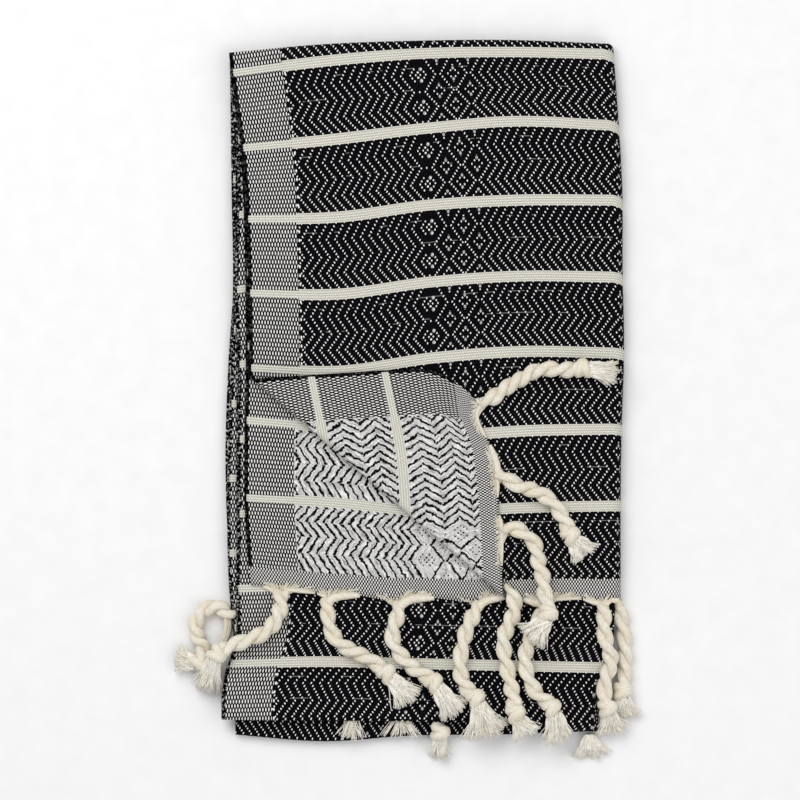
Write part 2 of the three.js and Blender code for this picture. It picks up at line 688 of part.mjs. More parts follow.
function hiddenTasselGeometry(way) {
  const places = way.map(({ x, y, z }) => new THREE.Vector3(x, y, z));
  const ahead = places[places.length - 1].clone().sub(places[0]).setZ(0).normalize();
  return loft(way.map(({ width, height }, i) => ({ point: places[i], ahead, width, height })));
}

// ---------------------------------------------------------------- the towel
const clothMaterial = new THREE.MeshStandardMaterial({ color: 0x1c1b1d, roughness: 0.92, metalness: 0 });
const cordMaterial = new THREE.MeshStandardMaterial({ color: 0xe8decb, roughness: 0.88, metalness: 0 });

const towel = new THREE.Group();
const addPiece = (name, geometry, material) => {
  const mesh = new THREE.Mesh(geometry, material);
  mesh.name = name;
  towel.add(mesh);
};
addPiece("towel_cloth", thicken(vertices, faces, THICKNESS), clothMaterial);
TASSELS.forEach(({ name, way }) => addPiece(name, tasselGeometry(way), cordMaterial));
HIDDEN_TASSELS.forEach(({ name, way }) => addPiece(name, hiddenTasselGeometry(way), cordMaterial));

// The origin is under the middle of the whole towel.
const box = new THREE.Box3().setFromObject(towel);
const middle = box.getCenter(new THREE.Vector3());
towel.position.set(-middle.x, -middle.y, -box.min.z);

export default towel;
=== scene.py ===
import bpy
import numpy as np
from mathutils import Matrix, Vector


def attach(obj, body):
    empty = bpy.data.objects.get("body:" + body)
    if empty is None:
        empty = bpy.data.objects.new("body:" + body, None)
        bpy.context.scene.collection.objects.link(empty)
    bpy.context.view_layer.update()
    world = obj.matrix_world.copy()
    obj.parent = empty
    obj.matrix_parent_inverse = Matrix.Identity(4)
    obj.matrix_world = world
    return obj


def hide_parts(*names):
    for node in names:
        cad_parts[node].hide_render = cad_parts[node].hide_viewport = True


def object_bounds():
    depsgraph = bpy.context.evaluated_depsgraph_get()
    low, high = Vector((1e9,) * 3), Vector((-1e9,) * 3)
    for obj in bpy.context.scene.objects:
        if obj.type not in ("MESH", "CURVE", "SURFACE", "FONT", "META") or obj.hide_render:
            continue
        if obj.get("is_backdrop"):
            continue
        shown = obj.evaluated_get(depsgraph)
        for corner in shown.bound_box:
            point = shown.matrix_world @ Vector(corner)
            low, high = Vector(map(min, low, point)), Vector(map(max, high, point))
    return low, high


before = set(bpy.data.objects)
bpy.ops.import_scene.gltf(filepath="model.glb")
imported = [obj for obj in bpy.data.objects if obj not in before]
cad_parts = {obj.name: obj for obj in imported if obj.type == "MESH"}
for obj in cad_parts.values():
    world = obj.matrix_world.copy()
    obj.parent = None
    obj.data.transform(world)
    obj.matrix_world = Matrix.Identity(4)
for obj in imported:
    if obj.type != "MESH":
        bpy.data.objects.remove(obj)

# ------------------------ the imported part's own box
# Measured before anything is added or hidden, to set beside the finished model's box.
cad_low, cad_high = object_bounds()

# ------------------------ the room
# A pale sheet of card lies under the towel, a wide soft lamp hangs over it, and the camera looks
# straight down from far enough away that the upper layers hardly spread.
MM = 0.001
SHIFT = (-2.56, 0.08)  # from the towel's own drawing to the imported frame, in millimetres
VIEW_WIDTH = 0.400
VIEW_HEIGHT = 3.0
PILE_HEIGHT = 0.012
SENSOR = 36.0


def new_object(name, data):
    made = bpy.data.objects.new(name, data)
    bpy.context.scene.collection.objects.link(made)
    return made


camera_data = bpy.data.cameras.new("camera")
camera_data.sensor_width = SENSOR
camera_data.lens = SENSOR * (VIEW_HEIGHT - PILE_HEIGHT) / VIEW_WIDTH
camera = new_object("camera", camera_data)
camera.location = (SHIFT[0] * MM, SHIFT[1] * MM, VIEW_HEIGHT)
bpy.context.scene.camera = camera


def lamp(name, place, size, watts):
    """A round lamp that points at the towel."""
    data = bpy.data.lights.new(name, "AREA")
    data.shape, data.size, data.energy = "DISK", size, watts
    made = new_object(name, data)
    x, y, z = np.array(place) / np.linalg.norm(place)
    made.location, made.rotation_euler = place, (np.arcsin(-y), np.arctan2(x, z), 0)


lamp("key_lamp", (-0.5, 0.7, 1.3), 1.2, 13.0)
lamp("fill_lamp", (0.8, -0.5, 1.2), 1.6, 7.0)
world = bpy.data.worlds.new("soft_room")
world.use_nodes = True
sky = world.node_tree.nodes["Background"].inputs
sky["Color"].default_value, sky["Strength"].default_value = (1.0, 1.0, 1.0, 1.0), 0.5
bpy.context.scene.world = world
bpy.context.scene.view_settings.view_transform = "Standard"


class Thread:
    """A value in a material. Sums add Math nodes; & keeps the lower value and | the higher one."""

    def __init__(self, tree, socket=None):
        self.tree, self.socket = tree, socket

    def node(self, kind, settings, inputs, out=0):
        made = self.tree.nodes.new("ShaderNode" + kind)
        for name, value in settings.items():
            setattr(made, name, value)
        for key, value in inputs.items():
            if isinstance(value, Thread):
                self.tree.links.new(value.socket, made.inputs[key])
            else:
                made.inputs[key].default_value = value
        return Thread(self.tree, made.outputs[out])

    def math(self, operation, *values, clamp=False):
        settings = {"operation": operation, "use_clamp": clamp}
        return self.node("Math", settings, dict(enumerate(values)))

    def __abs__(self):
        return self.math("ABSOLUTE", self)

    def __round__(self):
        return self.math("ROUND", self)

    def near(self, period):
        """How far this value is from the nearest whole period, with its sign."""
        return (self + period / 2) % period - period / 2

    def clamped(self):
        return self.math("ADD", self, 0.0, clamp=True)

    def wave(self, period):
        """A ripple between 0 and 1 that is 1 at every whole period."""
        return self.math("COSINE", self * (2 * np.pi / period)) * 0.5 + 0.5

    def mix(self, low, high):
        """Two colours, mixed by this value."""
        return self.node("Mix", {"data_type": "RGBA"}, {0: self, 6: low, 7: high}, out=2)

    def noise(self, place, scale, detail=2.0):
        return self.node("TexNoise", {}, {"Vector": place, "Scale": scale, "Detail": detail})


for word, operation in {
    "add": "ADD", "sub": "SUBTRACT", "mul": "MULTIPLY", "truediv": "DIVIDE",
    "mod": "FLOORED_MODULO", "and": "MINIMUM", "or": "MAXIMUM",
}.items():
    setattr(Thread, f"__{word}__", lambda a, b, kind=operation: a.math(kind, a, b))
    setattr(Thread, f"__r{word}__", lambda a, b, kind=operation: a.math(kind, b, a))
Thread.__lt__ = lambda a, b: a.math("LESS_THAN", a, b)
Thread.__gt__ = lambda a, b: a.math("GREATER_THAN", a, b)


def colour(red, green, blue):
    """A colour named by its screen values, as the shader wants it."""
    part = np.array([red, green, blue]) / 255.0
    linear = np.where(part <= 0.04045, part / 12.92, ((part + 0.055) / 1.055) ** 2.4)
    return (*linear.tolist(), 1.0)


def finish_of(name, constants):
    """A new material: it, the start of its nodes, and its shader."""
    made = bpy.data.materials.new(name)
    made.use_nodes = True
    shader = made.node_tree.nodes["Principled BSDF"]
    for key, value in constants.items():
        shader.inputs[key].default_value = value
    return made, Thread(made.node_tree), shader


def wear(thread, shader, inputs):
    for key, value in inputs.items():
        thread.tree.links.new(value.socket, shader.inputs[key])


card, thread, shader = finish_of("pale_card", {"Specular IOR Level": 0.1})
place = thread.node("TexCoord", {}, {}, out=3)
grain = thread.noise(place, 90.0)
wear(thread, shader, {
    "Base Color": grain.mix(colour(238, 238, 239), colour(246, 246, 247)),
    "Roughness": grain * 0.1 + 0.85,
})
CARD_HALF = 1.6
floor_mesh = bpy.data.meshes.new("card")
corners = [(-1, -1), (1, -1), (1, 1), (-1, 1)]
floor_mesh.from_pydata([(x * CARD_HALF, y * CARD_HALF, 0.0) for x, y in corners], [], [(0, 1, 2, 3)])
floor_mesh.materials.append(card)
new_object("card", floor_mesh)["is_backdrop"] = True

# ------------------------ the cloth
# One length of flat-woven cotton, folded crosswise in half and in half again with both hems on top,
# then lengthwise with its right half underneath. One corner of the top layer is turned back.
# Millimetres; S runs across the cloth from the selvedge that shows, T along it from the top hem.
WIDTH, LENGTH, THICKNESS = 387.5, 1219.0, 1.0
FIRST_STRIPE, STRIPE_STEP = 47.0, 37.5
LAYER_STEP = 1.4
SPINE_ACROSS = 188.8
TURN_RADII = (1.5 * LAYER_STEP, 0.5 * LAYER_STEP, 0.5 * LAYER_STEP)
TURN_BULGE = (1, -1, 1)
RUN_LAYER = (4, 1, 2, 3)  # counted out from the lengthwise fold's axis
INNER_DROP, UNDERSIDE_DROP = 2.4, 1.5

SPINE_LINE = [
    (178, 101.4), (145, 103.8), (105, 106.0), (65, 106.2), (25, 107.0), (-15, 105.8),
    (-55, 105.2), (-100, 105.0), (-122, 104.0), (-133, 100.5), (-146, 97.6), (-168, 96.4),
]
# Each layer's selvedge, from the top layer to the lowest, down the length of the pile.
EDGE_Y = [174, 150, 128, 102, 62, 20, -20, -50, -77, -95, -114, -127, -136, -148]
EDGE_X = [
    [-85.7, -82.6, -79.6, -77.4, -76.1, -75.4, -75.6, -75.8, -75.8, -76.0, -76.0, -76.0, -76.0, -76.0],
    [-85.5, -82.4, -80.2, -78.5, -77.4, -77.2, -77.8, -77.8, -76.3, -74.8, -74.8, -74.8, -74.8, -74.8],
    [-85.4, -83.0, -81.8, -81.3, -82.7, -81.3, -81.2, -81.2, -81.5, -81.9, -81.5, -84.0, -87.2, -89.2],
    [-85.6, -84.0, -83.0, -82.3, -82.8, -82.0, -82.0, -82.0, -82.0, -82.3, -82.0, -84.4, -87.5, -89.4],
    [-85.4, -85.0, -84.7, -84.4, -83.7, -84.6, -86.0, -86.6, -86.4, -85.6, -83.8, -83.0, -82.7, -82.5],
    [-85.0, -84.2, -84.0, -83.8, -83.4, -86.0, -87.5, -87.2, -86.0, -85.4, -83.6, -83.0, -82.7, -82.5],
    [-84.8, -84.0, -83.6, -83.4, -82.9, -84.0, -85.0, -85.0, -84.6, -84.6, -84.2, -84.0, -84.0, -84.0],
    [-84.8, -84.0, -83.6, -83.4, -82.9, -84.0, -85.0, -85.0, -84.8, -84.8, -84.4, -84.2, -84.2, -84.2],
]
EDGE_ORDER = {"upper": (3, 2, 1, 0), "under": (4, 5, 6, 7)}

# Lines across the pile: Y at five places from the selvedge to the lengthwise fold.
TOP_FOLD = (173.4, 177.6, 179.4, 179.8, 178)
BOTTOM_FOLD = {
    "upper": (-159.5, -160, -160.3, -161.5, -165.5),
    "under": (-167.3, -170.6, -167.7, -167.2, -165.5),
}
TOP_LAYER = [
    (-106, -106, -103, -99.5, -99),
    (-59, -60, -57, -54, -53),
    (-21.5, -22.5, -19, -15.5, -14.5),
    (16, 14.5, 21, 24.3, 23.5),
    (53.5, 53, 59, 62, 61.5),
    (90.5, 91.5, 97.5, 100, 100),
    (126, 130.3, 135.8, 139.5, 137.5),
    (163.5, 169.5, 173.2, 174, 173),
]
TOP_ALONG = [0.0] + [FIRST_STRIPE + STRIPE_STEP * i for i in range(7)]
FAR_HEM = (-92.5, -96.5, -98.3, -98.3, -99)
UNDER_HEM = (-114, -110.5, -106.5, -102, -99)
# Stripes of the inner layers, where they show.
THIRD_RUN = {16: (-132, -131, -132, -133, -134), 17: (-94.5, -93.5, -94.5, -95.5, -96.5)}
LAST_RUN = {
    25: (138, 135, 132, 132.5, 133.5),
    29: (-10, -14, -18.5, -18, -17),
    30: (-49, -51.5, -56, -56, -55),
}
# The fifth and sixth layers, which the lengthwise fold leaves a little out of line with those above.
FIFTH_START, SIXTH_START = 279.8, 628.6
FIFTH_RUN = {7: (148.2,) * 5, 15: (-151.8,) * 5}
SIXTH_RUN = {16: (-134.5,) * 5, 20: (15.5,) * 5}
SWELLS = [(0.3, 33, 58, 0.6), (0.22, -52, 36, 2.1)]
RISE_HEIGHT, RISE_Y, RISE_X = 3.0, (-132, -157), (92, 66)


def ease(value):
    v = np.clip(value, 0, 1)
    return v * v * (3 - 2 * v)


def mix(a, b, share):
    return a + (b - a) * share


def curve_through(xs, ys, x):
    """A smooth curve through the points, held level beyond its ends. ys may have a column per x."""
    xs, ys, x = np.asarray(xs, float), np.asarray(ys, float), np.asarray(x, float)
    if xs[-1] < xs[0]:
        xs, ys = xs[::-1], ys[::-1]
    last = len(xs) - 1
    low = np.maximum(np.arange(last + 1) - 1, 0)
    high = np.minimum(np.arange(last + 1) + 1, last)
    slopes = ((ys[high] - ys[low]).T / (xs[high] - xs[low])).T
    i = np.clip(np.searchsorted(xs, x, side="right") - 1, 0, last - 1)
    span = xs[i + 1] - xs[i]
    u = np.clip((x - xs[i]) / span, 0, 1)

    def pick(table, k):
        return table[k] if table.ndim == 1 else table[k, np.arange(table.shape[1])]

    start, end = pick(slopes, i) * span, pick(slopes, i + 1) * span
    rise = pick(ys, i + 1) - pick(ys, i)
    return pick(ys, i) + u * (start + u * (3 * rise - 2 * start - end + u * (start + end - 2 * rise)))


def across(line, f):
    return curve_through(np.linspace(0, 1, 5), line, f)


def height_of(n, x, y):
    """The middle of layer number n of the pile, counted from 0 at the bottom."""
    swell = sum(h * np.sin(x / over_x + y / over_y + shift) for h, over_x, over_y, shift in SWELLS)
    rise = RISE_HEIGHT * ease((y - RISE_Y[0]) / (RISE_Y[1] - RISE_Y[0]))
    rise = rise * ease((x - RISE_X[0]) / (RISE_X[1] - RISE_X[0]))
    lifted = np.where(n > 3.5, rise * np.clip(n - 3, 0, 1), 0)
    return THICKNESS / 2 + n * LAYER_STEP + swell * n / 7 + lifted


def top_of(layers, x, y):
    return height_of(layers - 1, x, y) + THICKNESS / 2 if layers > 0 else 0.0


def on_half(half, f, y, layer):
    """Points of a flat half; f is 0 at the selvedge and 1 where the lengthwise fold starts."""
    y, layer = np.broadcast_to(y, np.shape(f)), np.broadcast_to(layer, np.shape(f))
    edges = np.array([curve_through(EDGE_Y, EDGE_X[k], y) for k in EDGE_ORDER[half]])
    below = np.clip(np.floor(layer - 1).astype(int), 0, 3)
    each = np.arange(len(y))
    selvedge = mix(edges[below, each], edges[np.minimum(below + 1, 3), each], layer - 1 - below)
    spine_y, spine_x = zip(*SPINE_LINE)
    x = mix(selvedge, curve_through(spine_y, spine_x, y), f)
    level = 4 - layer if half == "under" else 3 + layer
    return np.stack([x, y, height_of(level, x, y)], axis=-1)


def turn_radius(layer):
    return (layer - 0.5) * LAYER_STEP


TOP_ROW_SPAN = SPINE_ACROSS - np.pi / 2 * turn_radius(RUN_LAYER[0])


def top_layer_y(f, t):
    ys = np.array([across(line, f) for line in TOP_LAYER])
    beyond = np.maximum(t - TOP_ALONG[-1], 0)
    return curve_through(TOP_ALONG, ys, t) + beyond


def on_top_layer(s, t):
    """Points of the top layer's upper half before its corner is turned back."""
    f = s / TOP_ROW_SPAN
    return on_half("upper", f, top_layer_y(f, t), np.full(np.shape(f), 4.0))


# The turned corner: a soft roll along the crease, then the flap, which settles on the layer below.
CREASE_TOP, CREASE_FOOT = np.array([-74.0, 11.0]), np.array([48.5, -95.0])
ROLL, FLAP_REST, FLAP_SETTLE, FLAP_DEPTH = 3.0, 2.0, 30.0, 82.4
FLAP_LEAN = np.array([-1.9, -9.3])
HEM_BULGE = 2.0
HEM_NOTCH, NOTCH_AT, NOTCH_WIDE, NOTCH_DEEP = 4.0, 24, 13, 14  # a dip in the flap's hem
CORNER_DRAW, CORNER_REACH = (0.5, -17.5), (60.0, 32.0)
crease_length = np.linalg.norm(CREASE_FOOT - CREASE_TOP)
crease_along = (CREASE_FOOT - CREASE_TOP) / crease_length
crease_out = np.array([crease_along[1], -crease_along[0]])


def beyond_crease(points):
    return (points[:, :2] - CREASE_TOP) @ crease_out + ROLL


def turn_back(points, s, t):
    beyond = beyond_crease(points)
    along = (points[:, :2] - CREASE_TOP) @ crease_along
    angle = np.minimum(beyond / ROLL, np.pi)
    past = np.maximum(0, beyond - np.pi * ROLL)
    outward = ROLL * np.sin(angle) - past - ROLL
    depth = past / FLAP_DEPTH
    flat = CREASE_TOP + along[:, None] * crease_along + outward[:, None] * crease_out
    flat = flat + depth[:, None] * FLAP_LEAN
    flat[:, 0] += HEM_BULGE * np.sin(np.pi * np.clip(depth, 0, 1)) * along / crease_length
    from_corner = np.hypot(s / CORNER_REACH[0], t / CORNER_REACH[1])
    drawn = np.clip(1 - from_corner, 0, 1) ** 2
    flat = flat + drawn[:, None] * np.array(CORNER_DRAW)
    flat[:, 0] -= HEM_NOTCH * np.exp(-(((s - NOTCH_AT) / NOTCH_WIDE) ** 2) - t / NOTCH_DEEP)
    settled = FLAP_REST + (2 * ROLL - FLAP_REST) * ease(1 - past / FLAP_SETTLE)
    lift = np.where(past > 0, settled, ROLL * (1 - np.cos(angle)))
    z = height_of(7, flat[:, 0], flat[:, 1]) + lift
    turned = np.column_stack([flat, z])
    return np.where((beyond > 0)[:, None], turned, points)


def bisect(is_past, low, high):
    low, high = np.asarray(low, float), np.asarray(high, float)
    for _ in range(40):
        middle = (low + high) / 2
        past = is_past(middle)
        low, high = np.where(past, low, middle), np.where(past, middle, high)
    return (low + high) / 2


crease_end = float(bisect(
    lambda s: beyond_crease(on_top_layer(s, np.zeros(1))) <= 0, [60.0], [160.0],
)[0])

# How finely the cloth is laid: columns across it and rows along it, closer where it shows.
CREASE_COLUMNS, KEPT_COLUMNS, SPINE_COLUMNS, UNDER_COLUMNS = 42, 20, 10, 56
crease_s = np.linspace(0, crease_end, CREASE_COLUMNS + 1)
upper_s = np.concatenate([crease_s, np.linspace(crease_end, TOP_ROW_SPAN, KEPT_COLUMNS + 1)[1:]])
upper_f = upper_s / TOP_ROW_SPAN
under_f = np.linspace(1, 0, UNDER_COLUMNS + 1)
spine_turn = np.linspace(0, np.pi, SPINE_COLUMNS + 1)[1:-1]
crease_t = np.zeros(len(upper_s))
crease_t[:CREASE_COLUMNS] = bisect(
    lambda t: beyond_crease(on_top_layer(crease_s[:-1], t)) <= 0,
    np.zeros(CREASE_COLUMNS), np.full(CREASE_COLUMNS, 200.0),
)


def spaced(stops):
    """Shares of a run from 0 to 1, from pairs of where a stretch ends and how many steps it has."""
    shares, at = [0.0], 0.0
    for end, steps in stops:
        shares += list(np.linspace(at, end, steps + 1)[1:])
        at = end
    return shares


RUN_SHARES = [
    spaced([(0.97, 84), (1.0, 6)]),
    spaced([(0.03, 4), (0.75, 28), (1.0, 30)]),
    spaced([(0.25, 30), (0.97, 28), (1.0, 4)]),
    spaced([(0.03, 4), (0.4, 14), (1.0, 52)]),
]
TURN_STEPS = (8, 6, 6)


def course(half, f):
    """Per place across: Y and T at each end of the four runs along the cloth."""
    under = half == "under"
    top = across(TOP_FOLD, f) - (UNDERSIDE_DROP * (1 - f) if under else 0)
    turns = [
        top - TURN_RADII[0],
        across(BOTTOM_FOLD[half], f) + TURN_RADII[1],
        top - INNER_DROP - TURN_RADII[2],
    ]
    near_y = across(UNDER_HEM if under else TOP_LAYER[0], f)
    far_y = across(UNDER_HEM if under else FAR_HEM, f)
    arcs = [np.pi * radius for radius in TURN_RADII]
    first_end = TOP_ALONG[-1] + (across(TOP_FOLD, f) - TURN_RADII[0] - across(TOP_LAYER[-1], f))
    to_stripe = across(THIRD_RUN[16], f) - across(BOTTOM_FOLD["upper"], f) - TURN_RADII[1]
    third_start = stripe_at(16) - to_stripe
    to_stripe = across(TOP_FOLD, f) - INNER_DROP - TURN_RADII[2] - across(LAST_RUN[25], f)
    last_start = stripe_at(25) - to_stripe
    if under:
        first_end = np.full_like(f, FIFTH_START)
        third_start = np.full_like(f, SIXTH_START)
    ends_t = [
        (np.zeros_like(f), first_end),
        (first_end + arcs[0], third_start - arcs[1]),
        (third_start, last_start - arcs[2]),
        (last_start, np.full_like(f, LENGTH)),
    ]
    ends_y = [(near_y, turns[0]), (turns[0], turns[1]), (turns[1], turns[2]), (turns[2], far_y)]
    return ends_y, ends_t


STRIPES_SHOWN = {
    ("upper", 2): THIRD_RUN, ("upper", 3): LAST_RUN, ("under", 1): FIFTH_RUN, ("under", 2): SIXTH_RUN,
}


def stripe_at(number):
    return FIRST_STRIPE + STRIPE_STEP * number


def along_of_y(run, half, f, y, ends_y, ends_t):
    """T on a run at Y, through the stripes that show there."""
    (start_y, end_y), (start_t, end_t) = ends_y, ends_t
    knots_y, knots_t = [start_y], [start_t]
    for number, line in STRIPES_SHOWN.get((half, run), {}).items():
        knots_y.append(across(line, f))
        knots_t.append(np.full_like(f, stripe_at(number)))
    knots_y.append(end_y)
    knots_t.append(end_t)
    ys, ts = np.array(knots_y), np.array(knots_t)
    order = 1 if ys[-1, 0] > ys[0, 0] else -1
    return np.array([
        np.interp(order * y[i], order * ys[:, i], ts[:, i]) for i in range(len(f))
    ])


# Where each cord draws the hem down: how far across the cloth, and the reach and depth of the pull.
HEM_DRAWS = {
    0: ((146, 12, 8, 1.0), (178, 14, 7, 2.4)),
    3: ((14, 8, 5, 1.5), (41, 20, 5, 2.0), (75, 26, 6, 3.6), (114, 27, 6, 3.4)),
}
DRAW_FADE = 6.0
# The strip under the pile's foot shows its chevrons right out to the selvedge.
STRIP_SLIP, SLIP_START, SLIP_FADE = 27.0, -130, 18


def drawn_down(number, s, from_hem):
    """How far the cords pull the cloth down, near a hem."""
    drop = np.zeros_like(s)
    for root, before, after, depth in HEM_DRAWS[number]:
        share = np.where(s < root, (root - s) / before, (s - root) / after)
        drop = np.maximum(drop, depth * np.clip(1 - share, 0, 1) ** 1.2)
    return drop * np.exp(-from_hem / DRAW_FADE)


def row_points(row, half, f, start_t=None):
    """One row of the cloth on one half: its points and their S and T."""
    ends_y, ends_t = course(half, f)
    kind, number, share = row
    if kind == "run":
        layer = np.full_like(f, RUN_LAYER[number])
        if number == 0 and half == "upper":
            t = mix(start_t if start_t is not None else 0.0, ends_t[0][1], share)
            y = top_layer_y(f, t)
        else:
            y = mix(ends_y[number][0], ends_y[number][1], share)
            t = along_of_y(number, half, f, y, ends_y[number], ends_t[number])
    else:
        angle = np.pi * share
        before, after = RUN_LAYER[number], RUN_LAYER[number + 1]
        layer = np.full_like(f, (before + after) / 2 + (before - after) / 2 * np.cos(angle))
        y = ends_y[number][1] + TURN_BULGE[number] * TURN_RADII[number] * np.sin(angle)
        t = mix(ends_t[number][1], ends_t[number + 1][0], share)
    half_turn = np.pi / 2 * turn_radius(layer)
    if half == "upper":
        s = f * (SPINE_ACROSS - half_turn)
        if kind == "run" and number in HEM_DRAWS:
            y = y - drawn_down(number, s, t if number == 0 else LENGTH - t)
    else:
        s = SPINE_ACROSS + half_turn + (1 - f) * (WIDTH - SPINE_ACROSS - half_turn)
        if kind == "turn" and number == 1 or kind == "run" and number in (1, 2):
            s = s - STRIP_SLIP * ease((SLIP_START - y) / SLIP_FADE)
    return on_half(half, f, y, layer), s, t


rows = []
for number, shares in enumerate(RUN_SHARES):
    rows += [("run", number, share) for share in shares]
    if number < len(TURN_STEPS):
        rows += [("turn", number, i / TURN_STEPS[number]) for i in range(1, TURN_STEPS[number])]

points, s_of, t_of, lines = [], [], [], []


def lay_line(line_points, line_s, line_t):
    """Adds a line of vertices and returns their numbers."""
    first = len(points)
    points.extend(line_points)
    s_of.extend(line_s)
    t_of.extend(line_t)
    return list(range(first, len(points)))


for row in rows:
    upper, upper_across, upper_t = row_points(row, "upper", upper_f, crease_t)
    under, under_across, under_t = row_points(row, "under", under_f)
    a, b = upper[-1], under[0]
    half_gap = (a - b) / 2
    spine = (a + b) / 2 + np.cos(spine_turn)[:, None] * half_gap
    spine[:, 0] += np.linalg.norm(half_gap) * np.sin(spine_turn)
    spine_s = mix(upper_across[-1], under_across[0], spine_turn / np.pi)
    spine_t = mix(upper_t[-1], under_t[0], spine_turn / np.pi)
    lines.append(lay_line(
        np.concatenate([upper, spine, under]),
        np.concatenate([upper_across, spine_s, under_across]),
        np.concatenate([upper_t, spine_t, under_t]),
    ))

faces = []
for lower, higher in zip(lines, lines[1:]):
    for c in range(len(lower) - 1):
        faces.append((lower[c], lower[c + 1], higher[c + 1], higher[c]))

# The flap's lines lie side by side with the crease and close on the cloth's corner.
ROLL_STEPS, FLAP_STEP = 14, 2.3
corner = on_top_layer(np.zeros(1), np.zeros(1))
corner_beyond = float(beyond_crease(corner)[0])
roll_lines = np.pi * ROLL * np.arange(1, ROLL_STEPS + 1) / ROLL_STEPS
flap_lines = np.arange(np.pi * ROLL + FLAP_STEP, corner_beyond - 1.0, FLAP_STEP)
flap_s, flap_t = upper_s[: CREASE_COLUMNS + 1], crease_t[: CREASE_COLUMNS + 1]
line = lines[0][: CREASE_COLUMNS + 1]
flap_hem = [line[-1]]
for distance in [*roll_lines, *flap_lines]:
    keep = 1 - distance / corner_beyond
    turned = turn_back(on_top_layer(flap_s * keep, flap_t * keep), flap_s * keep, flap_t * keep)
    following = lay_line(turned, flap_s * keep, flap_t * keep)
    for i in range(CREASE_COLUMNS):
        faces.append((line[i], following[i], following[i + 1], line[i + 1]))
    line = following
    flap_hem.append(line[-1])
tip = lay_line(turn_back(corner, np.zeros(1), np.zeros(1)), [0.0], [0.0])[0]
for i in range(CREASE_COLUMNS):
    faces.append((line[i], tip, line[i + 1]))
flap_hem.append(tip)

points, s_of, t_of = np.array(points), np.array(s_of), np.array(t_of)
near_hem = flap_hem[::-1] + lines[0][CREASE_COLUMNS + 1 :]
far_hem = lines[-1]


def thicken(middle, faces, thickness):
    """Both sides of the sheet and its rim: vertices, faces, and each face's side (0, 1 or rim 2)."""
    normals = np.zeros_like(middle)
    edges = {}
    for face in faces:
        a, b, c = middle[face[0]], middle[face[1]], middle[face[-1]]
        normal = np.cross(b - a, c - a)
        for i, start in enumerate(face):
            normals[start] += normal
            end = face[(i + 1) % len(face)]
            if (end, start) in edges:
                del edges[end, start]
            else:
                edges[start, end] = True
    normals /= np.maximum(np.linalg.norm(normals, axis=1), 1e-9)[:, None]
    count = len(middle)
    vertices = np.concatenate([middle + normals * thickness / 2, middle - normals * thickness / 2])
    made = list(faces)
    made += [tuple(count + i for i in reversed(face)) for face in faces]
    made += [(start, count + start, count + end, end) for start, end in edges]
    sides = [0] * len(faces) + [1] * len(faces) + [2] * len(edges)
    return vertices, made, sides


def to_frame(vertices):
    return (np.asarray(vertices) + np.array([SHIFT[0], SHIFT[1], 0.0])) * MM


cloth_vertices, cloth_faces, cloth_sides = thicken(points, faces, THICKNESS)
cloth_mesh = bpy.data.meshes.new("towel_sheet")
cloth_mesh.from_pydata(to_frame(cloth_vertices).tolist(), [], cloth_faces)
cloth = new_object("towel_sheet", cloth_mesh)
cloth_mesh.polygons.foreach_set("material_index", cloth_sides)
cloth_mesh.polygons.foreach_set("use_smooth", [True] * len(cloth_faces))

# Where each bit of yarn is on the flat cloth, for the weave; and a map that gives most room to what
# shows.
corner_vertex = np.array([loop.vertex_index for loop in cloth_mesh.loops])
corner_side = np.repeat(cloth_sides, [len(face) for face in cloth_faces])
loop_s = np.tile(s_of, 2)[corner_vertex]
loop_t = np.tile(t_of, 2)[corner_vertex]
weave_map = cloth_mesh.uv_layers.new(name="weave")
weave_map.data.foreach_set("uv", np.column_stack([loop_s, loop_t]).ravel())
FACE_ALONG = [(0, 0), (290, 290), (600, 330), (700, 420), (1219, 465)]
BACK_ALONG = [(0, 0), (140, 140), (1030, 205), (1219, 394)]
BACK_ACROSS = [(0, 0), (195, 195), (388, 225)]
face_high = np.interp(loop_t, *zip(*FACE_ALONG))
back_high = np.interp(loop_t, *zip(*BACK_ALONG))
MAP_GAP, MAP_WIDE, MAP_HIGH = 2, 624, 470
back_wide = np.interp(loop_s, *zip(*BACK_ACROSS)) + WIDTH + 2 * MAP_GAP
is_back = corner_side == 1
bake_map = cloth_mesh.uv_layers.new(name="OFBake")
bake_map.data.foreach_set("uv", np.column_stack([
    (np.where(is_back, back_wide, loop_s) + MAP_GAP) / MAP_WIDE,
    (np.where(is_back, back_high, face_high) + MAP_GAP) / MAP_HIGH,
]).ravel())

# The weave. White cotton warp shows as small ovals on a black ground, in chevron lines with a column
# of rosettes and lozenges, and as a brick pattern near the selvedges; thick cream weft makes stripes.
MIDDLE = WIDTH / 2
SELVEDGE, BAND = 2.0, 25.0
HEM = 10.0
STRIPE_HALF, BAND_STRIPE_HALF = 2.65, 1.85
ROSETTE_LINE, PAIR_LINES, LAST_LOZENGE = 90.4, (100.0, 107.5, 115.25), 184.95
LINE_PITCH, RIGHT_PITCH, ROW_SHIFT = 4.25, 4.17, 0.95
OVAL = (0.34, 0.50)
ROSETTE = [(3.75, 0.0), (2.9, 1.5), (1.8, 3.0), (1.1, 0.0), (0.15, 1.3)]
LOZENGE = [(0.0, 4.6), (1.1, 1.6), (2.5, 0.0)]
COLUMN, DASH_ROW = 0.735, 2.165
HEM_PICK = 1.13  # height of one check of the hems
CHECK_EDGE, CHECK_LIFT = 3.4, 0.16
STRIPES_FROM_HEM = 30.0
FIRST_ROW, ZIG_ROWS = 5.0, 6.0  # the chevrons turn at this row below a stripe, then this often
ROW_PACE, ROW_GAIN = 0.585, 0.0045  # rows to a millimetre, and how they close up further down
